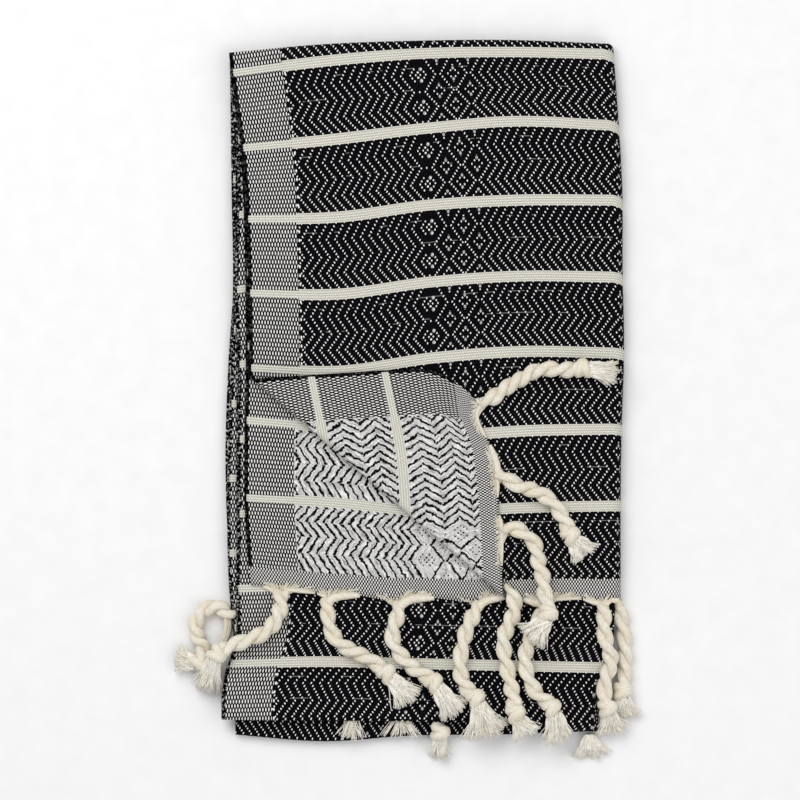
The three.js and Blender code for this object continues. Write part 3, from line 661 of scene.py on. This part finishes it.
# How far beside a motif's middle the chevron line next to it starts.
ROSETTE_CLEAR, PAIR_NEAR, PAIR_FAR, RIGHT_START, LAST_CLEAR = 8.45, 1.25, 6.6, 0.75, 6.4
RIGHT_LINES = 15.5
MOTIF_ROWS = 3.0
FAR_AWAY = 50.0


def oval(dx, dy, half=OVAL):
    """How far a place is from an oval's middle: 1 on its edge."""
    a, b = dx / half[0], dy / half[1]
    return a * a + b * b


def lit(distance, softness=0.45):
    """1 inside an oval and 0 outside it, with a soft edge."""
    return ((1.0 - distance) / softness + 0.5).clamped()


def weave(thread, slope, line_oval, uneven):
    """The masks of the weave by name, each from 0 to 1. The ovals lean by the slope."""
    at = thread.node("UVMap", {"uv_map": "weave"}, {})
    apart = thread.node("SeparateXYZ", {}, {0: at})
    s, t = apart, Thread(thread.tree, apart.socket.node.outputs[1])
    side = MIDDLE - abs(s - MIDDLE)
    below = (FIRST_STRIPE - t) % STRIPE_STEP - STRIPE_HALF  # under the stripe above
    pace = below * (2 * ROW_GAIN) + ROW_PACE
    row = below * (below * ROW_GAIN + ROW_PACE)
    whole = round(row)
    high = (row - whole) / pace
    zig = thread.math("PINGPONG", whole - FIRST_ROW, ZIG_ROWS)
    slant = ((whole - FIRST_ROW) % (2 * ZIG_ROWS) < ZIG_ROWS - 0.5) * 2.0 - 1.0
    wobble = (thread.noise(at, 0.35) - 0.5) * uneven
    lean = side + high * slant * slope + wobble
    across_lean = side - high * slant * slope + wobble
    step = zig * ROW_SHIFT
    left = lean - (ROSETTE_LINE - ROSETTE_CLEAR) - step
    right = lean - (PAIR_LINES[2] + RIGHT_START) - step
    lines = abs(left.near(LINE_PITCH)) + (left > LINE_PITCH / 2) * FAR_AWAY
    lines &= abs(across_lean + step - (ROSETTE_LINE + ROSETTE_CLEAR))
    lines &= abs(lean - step - (PAIR_LINES[0] + PAIR_NEAR))
    lines &= abs(across_lean + step - (PAIR_LINES[1] + PAIR_FAR))
    outside = (right < -RIGHT_PITCH / 2) + (right > RIGHT_PITCH * RIGHT_LINES)
    lines &= abs(right.near(RIGHT_PITCH)) + outside * FAR_AWAY
    lines &= abs(across_lean + step - (LAST_LOZENGE + LAST_CLEAR))
    dots = oval(lines, high, line_oval)

    rows_off = thread.math("PINGPONG", row - FIRST_ROW, ZIG_ROWS)
    upper_motif = rows_off < MOTIF_ROWS
    motif_high = (rows_off & (2 * MOTIF_ROWS - rows_off)) / pace
    narrow = abs(side - PAIR_LINES[1]) & abs(side - LAST_LOZENGE)
    wide = abs(side - PAIR_LINES[0]) & abs(side - PAIR_LINES[2])
    lozenge_x = wide + (narrow - wide) * upper_motif
    rosette_x = abs(side - MIDDLE) + (abs(side - ROSETTE_LINE) - abs(side - MIDDLE)) * upper_motif
    for x, y in ROSETTE:
        dots &= oval(rosette_x - x, motif_high - y)
    for x, y in LOZENGE:
        dots &= oval(lozenge_x - x, motif_high - y)
    dots &= oval(side - ROSETTE_LINE, motif_high) + upper_motif * FAR_AWAY
    dots &= oval(side - BAND - 1.0, t.near(2 * DASH_ROW), (0.42, 0.8))
    chevrons = lit(dots)
    one_side = (abs(side - ROSETTE_LINE - 1.6) & abs(s - MIDDLE - 1.6)) < 1.5
    haze = lit(oval(rosette_x - 1.4, motif_high - 2.9, (0.75, 0.95))) * one_side
    haze |= lit(oval(lozenge_x, motif_high - 2.9, (0.6, 0.85)))

    across_band = side / COLUMN
    column = round(across_band)
    shifted = t + (column % 2.0) * DASH_ROW
    brick = oval((across_band - column) * COLUMN, shifted.near(2 * DASH_ROW), (0.34, 0.98))
    dashes = lit(brick, 0.6)
    checks = thread.math("SINE", s * (np.pi / COLUMN)) * thread.math("SINE", t * (np.pi / HEM_PICK))
    checks = (checks * CHECK_EDGE + CHECK_LIFT).clamped()

    in_band = side < BAND
    in_edge = side < SELVEDGE
    from_hem = t & (LENGTH - t)
    in_hem = from_hem < HEM
    from_stripe = (t - FIRST_STRIPE).near(STRIPE_STEP)
    stripe_half = STRIPE_HALF - in_band * (STRIPE_HALF - BAND_STRIPE_HALF)
    stripe = (abs(from_stripe) < stripe_half) * (from_hem > STRIPES_FROM_HEM) * (side > 1.0)
    return {
        "s": s, "t": t, "at": at, "chevrons": chevrons, "haze": haze, "dashes": dashes,
        "checks": checks, "band": in_band, "edge": in_edge, "hem": in_hem, "stripe": stripe,
        "from_stripe": from_stripe, "below": below, "left": left, "high": high,
    }


BLACK, BLACK_LIT, WHITE = colour(0, 0, 2), colour(27, 26, 31), colour(246, 244, 240)
CREAM, CREAM_SHADE = colour(243, 241, 229), colour(136, 133, 123)
REVERSE_GROUND, REVERSE_SHADE = colour(244, 243, 239), colour(150, 149, 149)
RIB, TICK = 1.25, 1.2  # the thick weft of a stripe: from one to the next, and its bindings
SLIP_ROWS, SLIP_HALF = (4.6, 15.5), 0.16  # rows below a stripe where a pale weft slips through
INNER_FROM, INNER_TO = 290.0, 1000.0  # the layers of which only the selvedge shows


# How far the ovals lean, half their width and height, and how unevenly they lie.
FACE_WEAVE, REVERSE_WEAVE = (0.3, OVAL, 0.5), (-0.55, (0.74, 1.15), 3.6)


def cloth_material(name, is_reverse):
    made, thread, shader = finish_of(name, {"Specular IOR Level": 0.03})
    yarn = weave(thread, *(REVERSE_WEAVE if is_reverse else FACE_WEAVE))
    slub = thread.noise(yarn["at"], 0.9)
    black = (thread.noise(yarn["at"], 1.7) * 3.2 - 1.3).clamped().mix(BLACK, BLACK_LIT)
    streak = thread.noise(yarn["at"], 0.06)
    chevrons, dashes, haze = yarn["chevrons"], yarn["dashes"], yarn["haze"]
    if is_reverse:
        figure = (1.0 - chevrons) * (1.0 - haze * 0.5)
        beside = thread.node("CombineXYZ", {}, {0: yarn["left"] * 2.0, 1: yarn["t"] * 0.2})
        fine = (thread.noise(beside, 1.0) * 3.4 - 1.15).clamped()
        ground = fine.mix(REVERSE_SHADE, REVERSE_GROUND)
        shown = figure.mix(black, ground)
        relief = figure * 0.7 + fine * 0.5
    else:
        figure = chevrons | (haze * (thread.noise(yarn["at"], 2.2) * 1.6 - 0.3))
        shown = (figure * (slub * 0.6 + 0.7)).clamped().mix(black, WHITE)
        relief = figure
    brick = (dashes * (slub * 0.4 + 0.75)).clamped()
    shown = yarn["band"].mix(shown, brick.mix(black, WHITE))
    relief += (dashes - relief) * yarn["band"]
    inner = (yarn["t"] > INNER_FROM) * (yarn["t"] < INNER_TO)
    speckle = (thread.noise(yarn["at"], 0.75) * 7.0 - 3.7).clamped() * (inner * 0.65 + 0.1)
    shown = yarn["edge"].mix(shown, speckle.mix(BLACK, WHITE))
    shown = yarn["hem"].mix(shown, (yarn["checks"] * (slub * 0.3 + 0.8)).clamped().mix(black, WHITE))
    relief += (yarn["checks"] - relief) * yarn["hem"]
    # Darker cream in the grooves between the weft's ribs is painted shade; the ticks of its bindings
    # and the slub are the yarn's own colour.
    rib = yarn["from_stripe"].wave(RIB)
    tick = (yarn["s"] + round(yarn["from_stripe"] / RIB) * (TICK / 2)).wave(TICK)
    rib_shade_and_ticks = (rib * 0.4 + tick * 0.35 + slub * 0.4 + 0.05).clamped()
    shown = yarn["stripe"].mix(shown, rib_shade_and_ticks.mix(CREAM_SHADE, CREAM))
    relief += (rib * 0.8 + tick * 0.3 + 0.6 - relief) * yarn["stripe"]
    slips = (abs(yarn["below"] - SLIP_ROWS[0]) & abs(yarn["below"] - SLIP_ROWS[1])) < SLIP_HALF
    slips = slips * (thread.noise(yarn["at"], 0.11) > 0.56) * (1.0 - yarn["stripe"])
    shown = (slips * 0.22).mix(shown, WHITE)
    shade = (streak * 0.5 + 0.25).mix((0.9, 0.9, 0.9, 1.0), (1.0, 1.0, 1.0, 1.0))
    shown = thread.node(
        "Mix", {"data_type": "RGBA", "blend_type": "MULTIPLY"}, {0: 1.0, 6: shown, 7: shade}, out=2
    )
    bump = thread.node("Bump", {}, {"Strength": 0.8, "Distance": 0.0003, "Height": relief})
    wear(thread, shader, {
        "Base Color": shown,
        "Roughness": slub * 0.15 + 0.78,
        "Normal": bump,
    })
    return made


for name in ("weave_face", "weave_reverse", "weave_rim"):
    cloth_mesh.materials.append(cloth_material(name, name == "weave_reverse"))
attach(cloth, "root")
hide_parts("towel_cloth")

# ------------------------ the tassels
# Warp ends are gathered from the hem, twisted into two plies, and the plies into a soft cord, which
# is knotted near its end. Past the knot the fibres are cut and brushed out.
CORD, KNOT, ROOT = 3.4, 5.1, 1.2
TUFT_WIDTH, TUFT_HEIGHT = 7.6, 2.6
WIDE_TUFTS = {
    "flap_upper": 9.6, "flap_lower": 8.6, "back_fourth": 10.5, "front_inner": 8.6, "flap_corner": 6.6,
}
FIBRES_TO_WIDTH = 34
REST_GAP = 0.7
# The way from the hem to the tuft's end: x, y, the layers that it lies over, and any lift above
# them; or x, y, None and the height of its middle. The knot is the last place but one.
WAYS = {
    "flap_corner": [
        (40.2, -1.6, 8), (45, 0.2, 8), (50.5, 4.2, 8), (56, 8, 8), (61.5, 11, 8), (67.5, 14.5, 8),
        (75, 15.5, 8), (83, 15, 8), (91, 16, 8), (108.5, 13.5, 8),
    ],
    "flap_upper": [
        (48.6, -36.8, 8), (53.5, -39.5, 8), (59.5, -43, 8), (66, -45, 8), (72.5, -48, 8),
        (77.5, -52.5, 8), (81.5, -59, 8), (85.5, -67.5, 8), (93, -77.5, 8),
    ],
    "flap_lower": [
        (51.3, -65.2, 8), (55.5, -63.8, 8), (62, -66.5, 8), (67.5, -72.5, 8), (69, -80, 8),
        (71, -87.5, 8), (72.3, -97, 8, 1.5), (74.0, -106.5, 6, 7.5), (64.3, -120.0, 6, 8),
    ],
    "flap_foot": [
        (52.4, -92.2, 8), (56, -97.5, 8, 0.3), (58, -104, 7), (55, -111, 6), (52, -119, 6),
        (52.2, -127, 6), (54, -136, 6), (56, -146, 6), (58, -156.5, 6), (64.5, -168.5, 5),
    ],
    "front_inner": [
        (72.4, -100.6, 6), (70, -108.5, 6), (67, -115.5, 6), (63.5, -123.5, 6), (62.6, -131, 6),
        (65, -141, 6), (69.5, -148, 6), (75.8, -153.2, 6), (79.5, -171, 5),
    ],
    "front_edge": [
        (101.2, -100.6, 6), (102, -108, None, 12.3), (102, -116, None, 12.5),
        (104.4, -125, None, 12.1), (105.8, -131, None, 10.7), (103.2, -138, None, 11.2),
        (102.2, -145, None, 11.3), (104, -154.3, None, 11.2), (106.5, -167, None, 5.5),
    ],
    "side_edge": [
        (109.2, -100.6, None, 4), (110.8, -109, None, 4.2), (112.2, -118, 0), (112.8, -127, 0),
        (112.4, -136, 0), (111.4, -145.5, 0), (113.2, -160, 0),
    ],
    "back_first": [
        (-59.6, -95.4, 6), (-60.2, -106, 6), (-64, -113, 6), (-70, -117.5, 6), (-77, -120.3, 6),
        (-83.5, -122.6, 6), (-91.3, -127.2, None, 13.8), (-97.5, -145.5, None, 4.5),
    ],
    "loop": [
        (-83.6, -108.5, None, 1.5), (-87, -106.2, 0), (-92.5, -103.4, 0),
        (-98.5, -105.5, 0), (-102, -111, 0), (-102, -117.5, 0), (-98.5, -122.8, 0),
        (-100.5, -131.5, 0), (-112.5, -129, 0),
    ],
    "back_second": [
        (-37.4, -99.5, 6), (-36, -108, 6), (-34.6, -115.5, 6), (-29.5, -122, 6), (-23, -125.8, 6),
        (-15, -129.8, 6), (-6.5, -136.5, 6), (5.5, -151.5, 6),
    ],
    "back_third": [
        (-0.9, -101.2, 6), (-1.4, -108, 6), (-3.6, -114.5, 6), (-3.2, -121.5, 6), (0.6, -128, 6),
        (8, -135, 6), (17, -141, 6), (27.5, -158, 6),
    ],
    "back_fourth": [
        (39.5, -101.4, 6), (36.4, -108, 6), (33, -116, 6), (31, -124, 6), (30, -133, 6),
        (32, -142.5, 6), (38.2, -149, 6), (43.5, -168.5, 5),
    ],
}
PLY, PLY_OUT = 2.1, 1.9  # a ply's radius, and how far its middle is from the cord's
TWIST, TIGHT_TWIST = 18.5, 16.0  # length of one full turn of the plies
YARNS, GROOVE, PLY_SIDES = 7, 0.09, 28  # yarns in a ply, the depth between them, sides of the mesh
# The knot's loops: how far out and along the cord, how they lean and roll, and their radius.
KNOT_LOOPS = [(2.5, -1.5, 0.9, 0.4, 2.25), (2.6, 1.3, -1.3, -0.5, 2.4)]
STEP = 0.8
FLOOR_GAP = 0.15
THIN_ROOTS, THIN_ROOT = {"flap_foot": 0.02, "loop": 1.0, "back_first": 0.9}, 0.45


def smooth_way(places, step):
    """Points at even steps along a smooth curve through the places."""
    places = np.asarray(places, float)
    knots = np.concatenate([[2 * places[0] - places[1]], places, [2 * places[-1] - places[-2]]])
    found = []
    for p0, p1, p2, p3 in zip(knots, knots[1:], knots[2:], knots[3:]):
        t1 = np.linalg.norm(p1 - p0) ** 0.5
        t2 = t1 + np.linalg.norm(p2 - p1) ** 0.5
        t3 = t2 + np.linalg.norm(p3 - p2) ** 0.5
        for t in np.linspace(t1, t2, 24, endpoint=False):
            a1 = mix(p0, p1, t / t1)
            a2 = mix(p1, p2, (t - t1) / (t2 - t1))
            a3 = mix(p2, p3, (t - t2) / (t3 - t2))
            b1 = mix(a1, a2, t / t2)
            b2 = mix(a2, a3, (t - t1) / (t3 - t1))
            found.append(mix(b1, b2, (t - t1) / (t2 - t1)))
    found = np.array(found + [places[-1]])
    at = lengths_along(found)
    even = np.linspace(0, at[-1], max(2, int(round(at[-1] / step)) + 1))
    return np.column_stack([np.interp(even, at, found[:, k]) for k in range(3)]), even


def lengths_along(way):
    """How far along the path each of its points is."""
    return np.concatenate([[0], np.cumsum(np.linalg.norm(np.diff(way, axis=0), axis=1))])


def heading(way):
    ahead = np.gradient(way, axis=0)
    return ahead / np.maximum(np.linalg.norm(ahead, axis=1), 1e-9)[:, None]


def frames_along(way):
    """Per point: the way ahead, level to the side, and up from it."""
    ahead = heading(way)
    side = np.cross([0, 0, 1.0], ahead)
    side /= np.maximum(np.linalg.norm(side, axis=1), 1e-6)[:, None]
    return ahead, side, np.cross(ahead, side)


def carried_frames(way):
    """Frames that don't spin about the way, for a path that turns in any direction."""
    ahead = heading(way)
    start = np.cross(ahead[0], [0.3, 0.2, 1.0])
    sides = [start / np.linalg.norm(start)]
    for direction in ahead[1:]:
        side = sides[-1] - direction * (sides[-1] @ direction)
        sides.append(side / max(np.linalg.norm(side), 1e-9))
    sides = np.array(sides)
    return ahead, sides, np.cross(ahead, sides)


class Bundle:
    """Tubes that are gathered into one piece's mesh."""

    def __init__(self):
        self.vertices, self.faces, self.slots, self.yarn = [], [], [], []
        self.count = 0

    def tube(
        self, way, radii, sides=12, lobes=0, lobe_depth=0.0, lobe_turn=0.0, slot=0, squash=1.0,
        grain=1.0,
    ):
        _, side, up = carried_frames(way)
        angle = 2 * np.pi * np.arange(sides) / sides
        turn = np.arange(len(way))[:, None] * lobe_turn
        swell = 1 + lobe_depth * np.abs(np.sin(lobes / 2 * (angle[None, :] + turn))) if lobes else 1
        radius = np.asarray(radii)[:, None] * swell * np.ones((len(way), sides))
        rings = (
            way[:, None, :]
            + (radius * np.cos(angle))[:, :, None] * side[:, None, :]
            + (radius * np.sin(angle) * squash)[:, :, None] * up[:, None, :]
        )
        rings[:, :, 2] = np.maximum(rings[:, :, 2], FLOOR_GAP)
        first = self.count
        self.vertices.append(rings.reshape(-1, 3))
        run = lengths_along(way)
        start = chance.uniform(0, 900)
        twisted = angle[None, :] + turn
        self.yarn.append(np.stack([
            np.cos(twisted) * grain, np.sin(twisted) * grain,
            (start + run)[:, None] * 0.1 * np.ones_like(twisted),
        ], axis=-1).reshape(-1, 3))
        self.count += rings.shape[0] * sides
        for k in range(len(way) - 1):
            for i in range(sides):
                j = (i + 1) % sides
                a, b = first + k * sides, first + (k + 1) * sides
                self.faces.append((a + i, a + j, b + j, b + i))
        end = first + (len(way) - 1) * sides
        self.faces.append(tuple(first + i for i in reversed(range(sides))))
        self.faces.append(tuple(end + i for i in range(sides)))
        self.slots += [slot] * ((len(way) - 1) * sides + 2)

    def piece(self, name, materials):
        mesh = bpy.data.meshes.new(name)
        mesh.from_pydata(to_frame(np.concatenate(self.vertices)).tolist(), [], self.faces)
        mesh.polygons.foreach_set("material_index", self.slots)
        mesh.polygons.foreach_set("use_smooth", [True] * len(self.faces))
        along = mesh.attributes.new("yarn", "FLOAT_VECTOR", "POINT")
        along.data.foreach_set("vector", np.concatenate(self.yarn).ravel())
        for material in materials:
            mesh.materials.append(material)
        return new_object(name, mesh)


def cotton(name, light, warm, shade, fine):
    """Loose cotton: tiny fibres along the yarn, with painted shade in the gaps between them, and slow
    changes of warmth.
    """
    made, thread, shader = finish_of(name, {"Specular IOR Level": 0.15})
    place = thread.node("TexCoord", {}, {}, out=3)
    along = thread.node("Attribute", {"attribute_name": "yarn"}, {}, out=1)
    fibre = thread.noise(along, fine, 4.0)
    warmth = thread.noise(place, 120.0)
    pale = (warmth * 2.6 - 0.8).clamped().mix(light, warm)
    bump = thread.node("Bump", {}, {"Strength": 0.7, "Distance": 0.0004, "Height": fibre})
    wear(thread, shader, {
        "Base Color": (fibre * 2.4 - 0.55).clamped().mix(shade, pale),
        "Roughness": fibre * 0.2 + 0.75,
        "Normal": bump,
    })
    return made


cord_cotton = cotton(
    "cord_cotton", colour(244, 240, 229), colour(240, 230, 208), colour(206, 197, 180), 5.0
)
tuft_cotton = cotton(
    "tuft_cotton", colour(255, 253, 247), colour(254, 249, 236), colour(246, 240, 226), 2.0
)
chance = np.random.default_rng(7)


def ways_places(way):
    """The middle of the cord at each place of its way."""
    knot = len(way) - 2
    found = []
    for i, place in enumerate(way):
        x, y, layers, lift = (*place, 0)[:4]
        radius = ROOT if i == 0 else KNOT if i == knot else TUFT_HEIGHT if i > knot else CORD
        z = lift if layers is None else top_of(layers, x, y) + REST_GAP + lift + radius
        found.append((x, y, float(z)))
    return np.array(found)


def add_plies(bundle, way, at, upto, twist, thin_root):
    """Two plies twisted about each other, from the hem to the knot."""
    _, side, up = frames_along(way)
    inside = at <= upto
    grown = np.clip(thin_root + at / 9, 0, 1)
    slack = 0.35 * np.sin(at / chance.uniform(4, 7) + chance.uniform(0, 6))
    for ply in range(2):
        angle = -2 * np.pi * at / twist + np.pi * ply + slack
        out = PLY_OUT * grown
        middle = way + (out * np.cos(angle))[:, None] * side + (out * np.sin(angle))[:, None] * up
        lumps = np.sin(at * chance.uniform(0.6, 1.0) + chance.uniform(0, 6))
        radii = PLY * (0.45 + 0.55 * grown) * (1 + 0.07 * lumps)
        bundle.tube(
            middle[inside], radii[inside], sides=PLY_SIDES, lobes=YARNS, lobe_depth=GROOVE,
            lobe_turn=-0.1,
        )


def add_knot(bundle, middle, ahead, side, up):
    """The cord's own end, wound round itself in two crossing loops and pulled tight."""
    turn = np.linspace(0, 2 * np.pi, 40)
    for out, along, lean, roll, thick in KNOT_LOOPS:
        path = (
            middle + (along + lean * np.cos(turn + roll))[:, None] * ahead
            + (out * np.cos(turn))[:, None] * side + (out * 0.86 * np.sin(turn))[:, None] * up
        )
        radii = thick * (1 + 0.1 * np.sin(2 * turn + roll))
        bundle.tube(path, radii, sides=PLY_SIDES, lobes=YARNS, lobe_depth=GROOVE, lobe_turn=0.12)


LOCKS = 24
FIBRE, FIBRE_REST = 0.33, 0.25  # a fibre's radius, and how low its middle may lie
STRAY_SHARE, STRAY_OUT = 0.07, 1.35


def add_core(bundle, start, end, side, root, spread, height):
    """The thick of a tuft: locks that lie close together."""
    share = np.linspace(0, 1, 12)
    for number in np.arange(-3, 4):
        fan = number / 3.4
        reach = 0.68 - 0.1 * fan**2 + chance.uniform(-0.06, 0.06)
        wide = root * 0.6 * fan * (1 - share) + spread * 0.66 * fan * share
        bow = chance.uniform(-0.4, 0.4) * np.sin(np.pi * share)
        path = start + (end - start) * (share * reach)[:, None] + side * (wide + bow)[:, None]
        radii = mix(root * 0.5, spread * 0.2, share) * np.sqrt(np.clip((1.03 - share) * 2.2, 0.02, 1))
        bundle.tube(
            path, radii, sides=24, lobes=11, lobe_depth=0.1, slot=1, squash=height / spread * 2,
            grain=7.0,
        )


def add_tuft(bundle, start, end, side, up, count, spread, height, root=3.2, cored=True):
    """Cut fibres in loose locks that fan out from a knot or from under an edge."""
    axis = end - start
    length = np.linalg.norm(axis)
    if cored:
        add_core(bundle, start, end, side, root, spread, height)
    ahead = axis / length
    share = np.linspace(0, 1, 8)[:, None]
    lock_turn, lock_out = chance.uniform(0, 2 * np.pi, LOCKS), np.sqrt(chance.uniform(0, 1, LOCKS))
    lock_reach = chance.uniform(0.84, 1.06, LOCKS)
    lock_bend = chance.normal(0, 0.06, (LOCKS, 2))
    for number in range(count):
        k = number % LOCKS
        begun = chance.normal(0, 0.6, 2).clip(-1, 1)
        ended = lock_out[k] * np.array([np.cos(lock_turn[k]), np.sin(lock_turn[k])])
        ended = ended + chance.normal(0, 0.075, 2)
        if chance.uniform() < STRAY_SHARE:
            ended = ended * STRAY_OUT
        reach = length * lock_reach[k] * chance.uniform(0.92, 1.04) * (1 - 0.1 * ended[0] ** 2)
        curl = (lock_bend[k] + chance.normal(0, 0.02, 2)) * reach * share**2
        wide = root * begun[0] * (1 - share) + spread * ended[0] * share**1.15
        high = root * 0.8 * begun[1] * (1 - share) + height * ended[1] * share
        wander = 0.14 * np.sin(share * chance.uniform(4, 10) + chance.uniform(0, 6))
        path = start + ahead * reach * share + side * (wide + curl[:, :1] + wander)
        path = path + up * (high + curl[:, 1:] * 0.4)
        path[:, 2] = np.maximum(path[:, 2], FIBRE_REST)
        thick = FIBRE * chance.uniform(0.75, 1.2)
        bundle.tube(path, np.linspace(thick, thick * 0.5, 8), sides=4, slot=1)


LOOSE_YARN = 0.25  # its radius
YARN_STEP, SPARSE_STEP = 0.42, 1.3  # from one loose yarn to the next, along the hem
BUNDLE_FROM = 0.5  # a gather thinner than this is loose yarns only
# A thick gather's bundle: shares of its reach and how far out of the hem it is there, and shares of
# its length and of its full radius.
BUNDLE_STOPS = [(0.98, 0.1), (0.7, 0.45), (0.4, 0.8), (0.12, 1.1)]
BUNDLE_GROWTH = [(0, 0.45), (0.3, 0.85), (0.7, 1.0), (1, 1.0)]


def add_gather(bundle, hem, root_point, ahead, sides):
    """Warp ends that leave the hem on both sides of the root, run along it and into the cord."""
    hem_way = points[hem]
    nearest = int(np.argmin(np.linalg.norm(hem_way[:, :2] - root_point[:2], axis=1)))
    steps = lengths_along(hem_way)
    middle = steps[nearest]

    def on_hem(place):
        return np.array([np.interp(place, steps, hem_way[:, k]) for k in range(3)])

    run = on_hem(min(middle + 6, steps[-1])) - on_hem(max(middle - 6, 0))
    outward = (ahead - run * (ahead @ run) / (run @ run)) * np.array([1, 1, 0])
    outward /= np.linalg.norm(outward)
    for sign, (reach, thick) in zip((-1, 1), sides):
        for offset in np.arange(0.3, reach, YARN_STEP if thick > BUNDLE_FROM else SPARSE_STEP):
            place = middle + sign * offset + chance.uniform(-0.2, 0.2)
            if place < steps[0] or place > steps[-1]:
                continue
            share = offset / reach
            out = thick * (1.1 - share) + 0.5 * chance.uniform()
            lift = np.array([0, 0, 0.3 + 0.9 * thick * (1 - share) * chance.uniform()])
            start = on_hem(place) - outward * chance.uniform(0.4, 3.4) + np.array([0, 0, 0.75])
            bend = on_hem(middle + sign * offset * 0.45) + outward * out + lift
            goal = root_point + ahead * 4.2 + chance.normal(0, 0.6, 3) * np.array([1, 1, 0.6])
            way, _ = smooth_way([start, bend, goal], 1.2)
            bundle.tube(way, np.full(len(way), LOOSE_YARN), sides=5)
        if thick < BUNDLE_FROM:
            continue
        way = [
            on_hem(np.clip(middle + sign * reach * share, steps[0], steps[-1]))
            + outward * out * thick + np.array([0, 0, 0.2 + thick * (1 - share)])
            for share, out in BUNDLE_STOPS
        ]
        way, _ = smooth_way(way + [root_point + ahead * 5.5 + outward * 0.5], 0.8)
        radii = np.interp(np.linspace(0, 1, len(way)), *zip(*BUNDLE_GROWTH))
        bundle.tube(way, radii * thick, sides=20, lobes=5, lobe_depth=0.16, lobe_turn=-0.25)


# How far along the hem each cord draws its yarns from, and how thick that bundle gets, on both
# sides of the cord.
GATHERS = {
    "flap_corner": ((13, 1.0), (18, 0.9)),
    "flap_upper": ((16, 1.7), (11, 0.9)),
    "flap_lower": ((8, 1.1), (18, 0.7)),
    "front_inner": ((11, 1.9), (19, 0.8)),
    "front_edge": ((9, 1.1), (6, 1.5)),
    "back_first": ((10, 1.2), (17, 0.9)),
    "back_second": ((5, 0.9), (17, 2.0)),
    "back_third": ((12, 0.4), (20, 2.1)),
    "back_fourth": ((12, 0.4), (15, 1.9)),
    "side_edge": ((9, 1.5), (5, 1.4)),
}
# A few of the loop's own yarns, which close it on the towel's side.
LOOP_STRAND = [(-88.5, -104.8, 5.0), (-86.6, -110.0, 3.4), (-86.8, -115.5, 3.6), (-88.8, -121.5, 8.0)]
LOOP_YARNS, LOOP_SPREAD, LOOP_YARN = 48, 1.7, 0.4


def hand_over(bundle, name):
    """Makes the bundle the piece that stands for its own plain tassel."""
    piece = bundle.piece(name + "_tassel", [cord_cotton, tuft_cotton])
    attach(piece, "root")
    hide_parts("tassel_" + name)


for name, way in WAYS.items():
    places = ways_places(way)
    knot_place = places[-2]
    middle, at = smooth_way(places, STEP)
    ahead, side, up = frames_along(middle)
    knot_step = int(np.argmin(np.linalg.norm(middle - knot_place, axis=1)))
    bundle = Bundle()
    twist = TIGHT_TWIST if name in ("flap_corner", "loop") else TWIST
    add_plies(bundle, middle, at, at[knot_step] + 2.0, twist, THIN_ROOTS.get(name, THIN_ROOT))
    add_knot(bundle, middle[knot_step], ahead[knot_step], side[knot_step], up[knot_step])
    tuft_start = middle[min(knot_step + 3, len(middle) - 1)]
    wide = WIDE_TUFTS.get(name, TUFT_WIDTH)
    count = int(FIBRES_TO_WIDTH * wide)
    add_tuft(bundle, tuft_start, places[-1], side[-1], up[-1], count, wide, TUFT_HEIGHT)
    if name == "loop":
        for place in chance.uniform(-LOOP_SPREAD, LOOP_SPREAD, (LOOP_YARNS, 2)):
            strand = np.array(LOOP_STRAND) + np.array([place[0], 0, place[1]])
            strand, _ = smooth_way(strand, 1.0)
            bundle.tube(strand, np.full(len(strand), LOOP_YARN), sides=5)
    if name in GATHERS:
        hem = near_hem if name.startswith("fl") or name.startswith("front") else far_hem
        add_gather(bundle, hem, middle[0], ahead[2], GATHERS[name])
    hand_over(bundle, name)

# ------------------------ tassels of the hidden hems
# The same cords on the hems that are folded underneath. Only their ends show, where they come out
# from under a fold's edge: its two ends, its half width and height, and its number of fibres.
HIDDEN = {
    "under_first": ([(-24.5, -155.5, 6.8), (-24.5, -170.5, 7.2)], 6.4, 1.0, 70),
    "under_second": ([(0, -155.5, 6.8), (0, -169, 7.2)], 11.5, 1.0, 60),
    "under_third": ([(20.2, -166.0, 8.6), (19.3, -180, 2.9)], 5.6, 2.0, 170),
    "under_corner": ([(95, -167.6, 3), (96.3, -179.5, 2.8)], 9.3, 1.9, 190),
}
HIDDEN_ROOTS, HIDDEN_ROOT, CORED_FROM = {"under_first": 4.5, "under_second": 2.5}, 2.4, 100
for name, (ends, spread, height, count) in HIDDEN.items():
    start, end = np.array(ends, float)
    ahead = (end - start) / np.linalg.norm(end - start)
    side = np.cross([0, 0, 1.0], ahead)
    side /= np.linalg.norm(side)
    up = np.cross(ahead, side)
    bundle = Bundle()
    root = HIDDEN_ROOTS.get(name, HIDDEN_ROOT)
    add_tuft(bundle, start, end, side, up, count, spread, height, root, count > CORED_FROM)
    if name == "under_third":
        add_knot(bundle, start, ahead, side, up)
    hand_over(bundle, name)

low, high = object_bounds()
({
    "cad": [[float(v) for v in cad_low], [float(v) for v in cad_high]],
    "visual": [[float(v) for v in low], [float(v) for v in high]],
})
